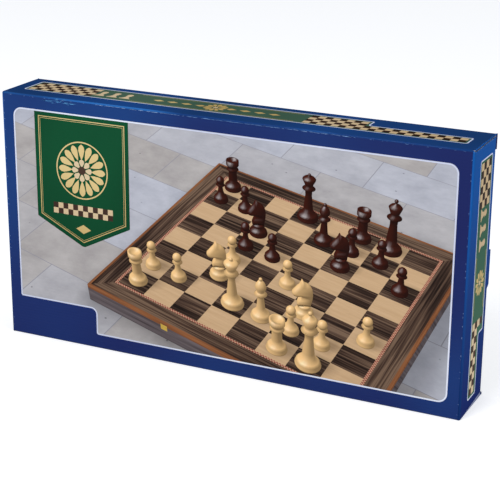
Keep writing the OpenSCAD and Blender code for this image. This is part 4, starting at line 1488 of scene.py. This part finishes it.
strew("front_glints", ROOT, glint, Start=(-HALF_W + 52 * MM, near_y, fold_z - 1.5 * MM), Count=26,
      End=(-HALF_W + 88 * MM, near_y, fold_z - 1.5 * MM), Spread=(6 * MM, 0.0, 2.6 * MM),
      Turn=UPRIGHT_FRONT, Smallest=(1.5 * MM, 0.15 * MM, 1.0), Largest=(8 * MM, 0.45 * MM, 1.0), Seed=11)
for word, sign in (("right", 1), ("left", -1)):
    edge_x = sign * (RIGHT_X - END_FOLD - 0.5 * MM)
    strew(word + "_fold_cracks", ROOT, cracks_and_highlights_ink, Start=(edge_x, near_y, 14 * MM), Count=22,
          End=(edge_x, near_y, HEIGHT - 13 * MM), Spread=(0.25 * MM, 0.0, 9 * MM), Turn=UPRIGHT_FRONT,
          Smallest=(0.12 * MM, 0.15 * MM, 1.0), Largest=(0.45 * MM, 1.6 * MM, 1.0), Seed=5)
    flat_x = sign * (FLAP_EDGE - 0.1 * MM)
    # A painted highlight along the top's fold to the dust flap
    strew(word + "_top_fold_highlight", ROOT, fold_highlight_flat_ink, Count=22, Turn=FLAT,
          Start=(flat_x, FRONT_Y + 5 * MM, TOP_Z + 2 * LAYER),
          End=(flat_x, BACK_Y - 5 * MM, TOP_Z + 2 * LAYER), Spread=(0.1 * MM, 3 * MM, 0.0),
          Smallest=(0.12 * MM, 1.0 * MM, 1.0), Largest=(0.35 * MM, 6 * MM, 1.0), Seed=8)
    face_x = sign * (RIGHT_X + 2 * LAYER)
    # Pale dashes under the lid's raw top edge: partly the edge's own colour, partly a painted highlight
    rim = lid_high.z - 0.25 * MM
    strew(word + "_lid_rim_edge_and_highlight", word + "_lid", cracks_and_highlights_ink, Count=34, Turn=UPRIGHT_RIGHT,
          Start=(face_x, FRONT_Y + END_FOLD, rim), End=(face_x, TUCK_Y - END_FOLD, rim),
          Spread=(0.0, 1.5 * MM, 0.05 * MM), Smallest=(0.3 * MM, 0.2 * MM, 1.0),
          Largest=(4.0 * MM, 0.5 * MM, 1.0), Seed=7)

# %% [markdown]
# ## The wooden case, its fittings and the men
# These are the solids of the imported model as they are: their shapes are right, so they only need
# finishes: lacquered veneer and solid wood, woollen felt, brass and steel. Each is a short recipe
# that is used several times with other colours.


# %% Wood, felt and metal finishes
WOOD_STRETCH = 25
# Bands of the metals' lines in each metre, along the grain and across it
METAL_ALONG, METAL_ACROSS = 60, 3000


def wood(name, stops, grain_mm, along, roughness=0.35, coat=0.2):
    """Lacquered wood with streaks grain_mm wide that run along one axis."""
    material, output = new_material(name)
    place = add(material, "TexCoord").outputs["Object"]
    across = 1 / (grain_mm * MM)
    scale = [across / WOOD_STRETCH if axis == along else across for axis in "XYZ"]
    stretched = add(material, "Mapping", {"Scale": scale}, {"Vector": place}).outputs["Vector"]
    streaks = add(material, "TexNoise", {"Scale": 1.0, "Detail": 5.0, "Roughness": 0.6, "Distortion": 0.4},
                  {"Vector": stretched})
    pores = add(material, "TexNoise", {"Scale": 6.0, "Detail": 2.0}, {"Vector": stretched})
    bump = add(material, "Bump", {"Strength": 0.25, "Distance": 0.05 * MM},
               {"Height": pores.outputs["Fac"]})
    return finish(material, output, ramp(material, streaks.outputs["Fac"], stops), bump.outputs["Normal"],
                  Roughness=roughness, IOR=1.5, Coat_Weight=coat, Coat_Roughness=0.15)


def rope_wood(name):
    """The inlay: blocks of red and cream wood 2.5 mm long."""
    material, output = new_material(name)
    place = add(material, "TexCoord").outputs["Object"]
    blocks = add(material, "TexChecker", {"Scale": 1 / (2.5 * MM), "Color1": linear("8c3a35"),
                                          "Color2": linear("cdae8a")}, {"Vector": place})
    return finish(material, output, blocks.outputs["Color"], Roughness=0.35, Coat_Weight=0.2)


def felt(name, deep, bright):
    """Woollen felt: short matted hair, with a soft sheen at grazing angles."""
    material, output = new_material(name)
    place = add(material, "TexCoord").outputs["Object"]
    hair = add(material, "TexNoise", {"Scale": 1800.0, "Detail": 4.0, "Roughness": 0.8}, {"Vector": place})
    bump = add(material, "Bump", {"Strength": 0.6, "Distance": 0.3 * MM}, {"Height": hair.outputs["Fac"]})
    return finish(material, output, ramp(material, hair.outputs["Fac"], [(0.3, deep), (0.7, bright)]),
                  bump.outputs["Normal"], Roughness=0.95, Sheen_Weight=0.4, Sheen_Roughness=0.4)


def metal(name, deep, bright, roughness, along="X"):
    """Pressed or drawn metal with fine lines along one axis."""
    material, output = new_material(name)
    place = add(material, "TexCoord").outputs["Object"]
    scale = [METAL_ALONG if axis == along else METAL_ACROSS for axis in "XYZ"]
    stretched = add(material, "Mapping", {"Scale": scale}, {"Vector": place})
    lines = add(material, "TexNoise", {"Scale": 1.0, "Detail": 2.0},
                {"Vector": stretched.outputs["Vector"]})
    bump = add(material, "Bump", {"Strength": 0.15, "Distance": 0.03 * MM},
               {"Height": lines.outputs["Fac"]})
    return finish(material, output, ramp(material, lines.outputs["Fac"], [(0.3, deep), (0.7, bright)]),
                  bump.outputs["Normal"], Metallic=1.0, Roughness=roughness)


print("a wood's streaks are", WOOD_STRETCH, "times as long as they are wide")

# %% [markdown]
# Each wood has its own ramp of colours and its own width of streak. The case's ends and the ends
# of its lipping are cut so that their grain runs upright.

# %% Woods, felts and metals
STREAKY = [(0.32, "1d1310"), (0.45, "35251d"), (0.55, "241813"), (0.68, "7b604c")]
streaky_veneer = wood("lacquered_dark_streaky_veneer", STREAKY, 3, "X")
pale_veneer = wood("lacquered_pale_veneer", [(0.3, "c8ac80"), (0.7, "dfc79e")], 5, "X")
SIDE_STOPS = [(0.3, "453b38"), (0.5, "6b5f59"), (0.7, "80746c")]
LIPPING_STOPS = [(0.3, "7d4a2a"), (0.7, "b4794a")]
side_veneer = wood("lacquered_grey_brown_veneer", SIDE_STOPS, 3, "X")
lipping_wood = wood("lacquered_orange_brown_lipping", LIPPING_STOPS, 4, "X")
deck_ply = wood("sanded_plywood", [(0.3, "a98a5f"), (0.7, "c7a97b")], 6, "X", 0.7, 0.0)
light_wood = wood("turned_boxwood", [(0.3, "cfae74"), (0.7, "e6cb96")], 2.5, "X", 0.25, 0.5)
dark_wood = wood("stained_sheesham", [(0.3, "2c0f09"), (0.7, "5c261a")], 2.5, "X", 0.22, 0.6)
inlay_wood = rope_wood("lacquered_rope_inlay")
lining = felt("green_lining_felt", "1a4a30", "2a6645")
base_felt = felt("green_base_felt", "1f5638", "337550")
brass = metal("pressed_brass", "a8812f", "d9b65f", 0.28)
steel = metal("drawn_steel_wire", "8d8f92", "c2c4c7", 0.3)
end_veneer = wood("lacquered_grey_brown_veneer_upright", SIDE_STOPS, 3, "Z")
lipping_end = wood("lacquered_orange_brown_lipping_upright", LIPPING_STOPS, 4, "Z")
print("materials", len(bpy.data.materials))

# %% [markdown]
# The table gives each node of the case, its fittings and its men a finish. The nodes keep the
# shape that they have in the frame.

# %% Finishes of the case and the men

CASE = {"deck": deck_ply, "hinge_rail": side_veneer, "clasp_rail": side_veneer, "end_rails": end_veneer,
        "lipping": lipping_wood, "border": streaky_veneer, "inlay": inlay_wood,
        "dark_squares": streaky_veneer, "light_squares": pale_veneer, "felt": lining}
finishes = {f"{half}_{part}": material for half in ("front", "back") for part, material in CASE.items()}
finishes |= {f"{colour}_{man}": material
             for colour, material in (("light", light_wood), ("dark", dark_wood))
             for man in ("king", "queen", "bishops", "knights", "rooks", "pawns")}
finishes |= {name: brass for name in ("front_hinge_leaves", "back_hinge_leaves", "left_clasp_hook",
                                      "right_clasp_hook", "clasp_pivots", "catch_plates", "catch_screws",
                                      "hinge_screws")}
finishes |= {"hinge_pins": steel, "chessmen_felts": base_felt}
for name, material in finishes.items():
    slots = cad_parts[name].data.materials
    slots.clear()
    slots.append(material)
# On the short sides the grain of the lipping runs upright
for half in ("front", "back"):
    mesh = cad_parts[half + "_lipping"].data
    mesh.materials.append(lipping_end)
    for polygon in mesh.polygons:
        polygon.material_index = int(abs(polygon.normal.x) > 0.5)
print("nodes that keep their CAD shape", len(finishes))

# %% [markdown]
# ## Stage
# A plain white floor carries the shadow. Seen by the camera it is brightened towards white, as in
# a catalogue picture, and so it is in reflections; the lamps stay at a level at which a colour
# renders about as it is written.

# %% Stage and light
FLOOR_HALF, FLOOR_GLOW = 6.0, 0.42
# Name, place, size and power of each lamp
LAMPS = (("key", (-0.6, -2.4, 2.2), 1.6, 50), ("side", (2.6, -0.6, 1.5), 1.2, 24))
LAMP_AIM = Vector((0, 0, 0.13))


def seen_directly(material):
    """1 for rays that the camera, a reflection or a transparent surface sends."""
    path = add(material, "LightPath")
    total = path.outputs["Is Camera Ray"]
    for word in ("Is Glossy Ray", "Is Transmission Ray"):
        larger = add(material, "Math", {"operation": "MAXIMUM"}, {0: total, 1: path.outputs[word]})
        total = larger.outputs["Value"]
    return total


def studio():
    """The floor, the sky and two soft lamps that face the middle of the carton."""
    floor_material, output = new_material("white_studio_floor")
    glow = add(floor_material, "Math", {"operation": "MULTIPLY", 1: FLOOR_GLOW},
               {0: seen_directly(floor_material)})
    shader = add(floor_material, "BsdfPrincipled", {"Base Color": linear("efefef"), "Roughness": 0.9,
                                                    "Emission Color": (1, 1, 1, 1)},
                 {"Emission Strength": glow.outputs["Value"]})
    floor_material.node_tree.links.new(shader.outputs["BSDF"], output.inputs["Surface"])
    half = FLOOR_HALF
    mesh = bpy.data.meshes.new("floor")
    mesh.from_pydata([(-half, -half, 0), (half, -half, 0), (half, half, 0), (-half, half, 0)], [],
                     [[0, 1, 2, 3]])
    mesh.materials.append(floor_material)
    floor = bpy.data.objects.new("floor", mesh)
    bpy.context.scene.collection.objects.link(floor)

    world = bpy.data.worlds.new("studio")
    world.use_nodes = True
    bpy.context.scene.world = world
    sky = world.node_tree.nodes["Background"]
    sky.inputs["Color"].default_value = linear("dde1e8")
    sky.inputs["Strength"].default_value = 0.66

    for name, place, size, power in LAMPS:
        light = bpy.data.lights.new(name, "AREA")
        light.energy = power
        light.size = size
        lamp = bpy.data.objects.new(name, light)
        lamp.location = place
        lamp.rotation_euler = (LAMP_AIM - Vector(place)).to_track_quat("-Z", "Y").to_euler()
        bpy.context.scene.collection.objects.link(lamp)


studio()
print("lamps", [name for name, *_ in LAMPS])

# %% [markdown]
# The camera stands where the photograph's stood: it was fitted to the seven corners of the carton
# that can be seen.

# %% Camera
AZIMUTH, ELEVATION, ROLL = -25.498, 19.112, 0.44
CAMERA_PLACE = (0.6414, -1.3129, 0.6302)
LENS, SENSOR = 108.47, 36


def photo_camera():
    """The camera that looks along the azimuth and down by the elevation, rolled a little."""
    azimuth, elevation, roll = (math.radians(v) for v in (AZIMUTH, ELEVATION, ROLL))
    ahead = Vector((math.sin(azimuth) * math.cos(elevation), math.cos(azimuth) * math.cos(elevation),
                    -math.sin(elevation)))
    right = ahead.cross(Vector((0, 0, 1))).normalized()
    up = right.cross(ahead)
    tilted_right = right * math.cos(roll) + up * math.sin(roll)
    tilted_up = up * math.cos(roll) - right * math.sin(roll)
    camera = bpy.data.objects.new("camera", bpy.data.cameras.new("camera"))
    camera.data.lens = LENS
    camera.data.sensor_width = SENSOR
    camera.data.clip_end = 50
    camera.matrix_world = (Matrix.Translation(CAMERA_PLACE)
                           @ Matrix((tilted_right, tilted_up, -ahead)).transposed().to_4x4())
    bpy.context.scene.collection.objects.link(camera)
    bpy.context.scene.camera = camera


photo_camera()
bpy.context.scene.view_settings.view_transform = "Standard"
print("camera at", CAMERA_PLACE)
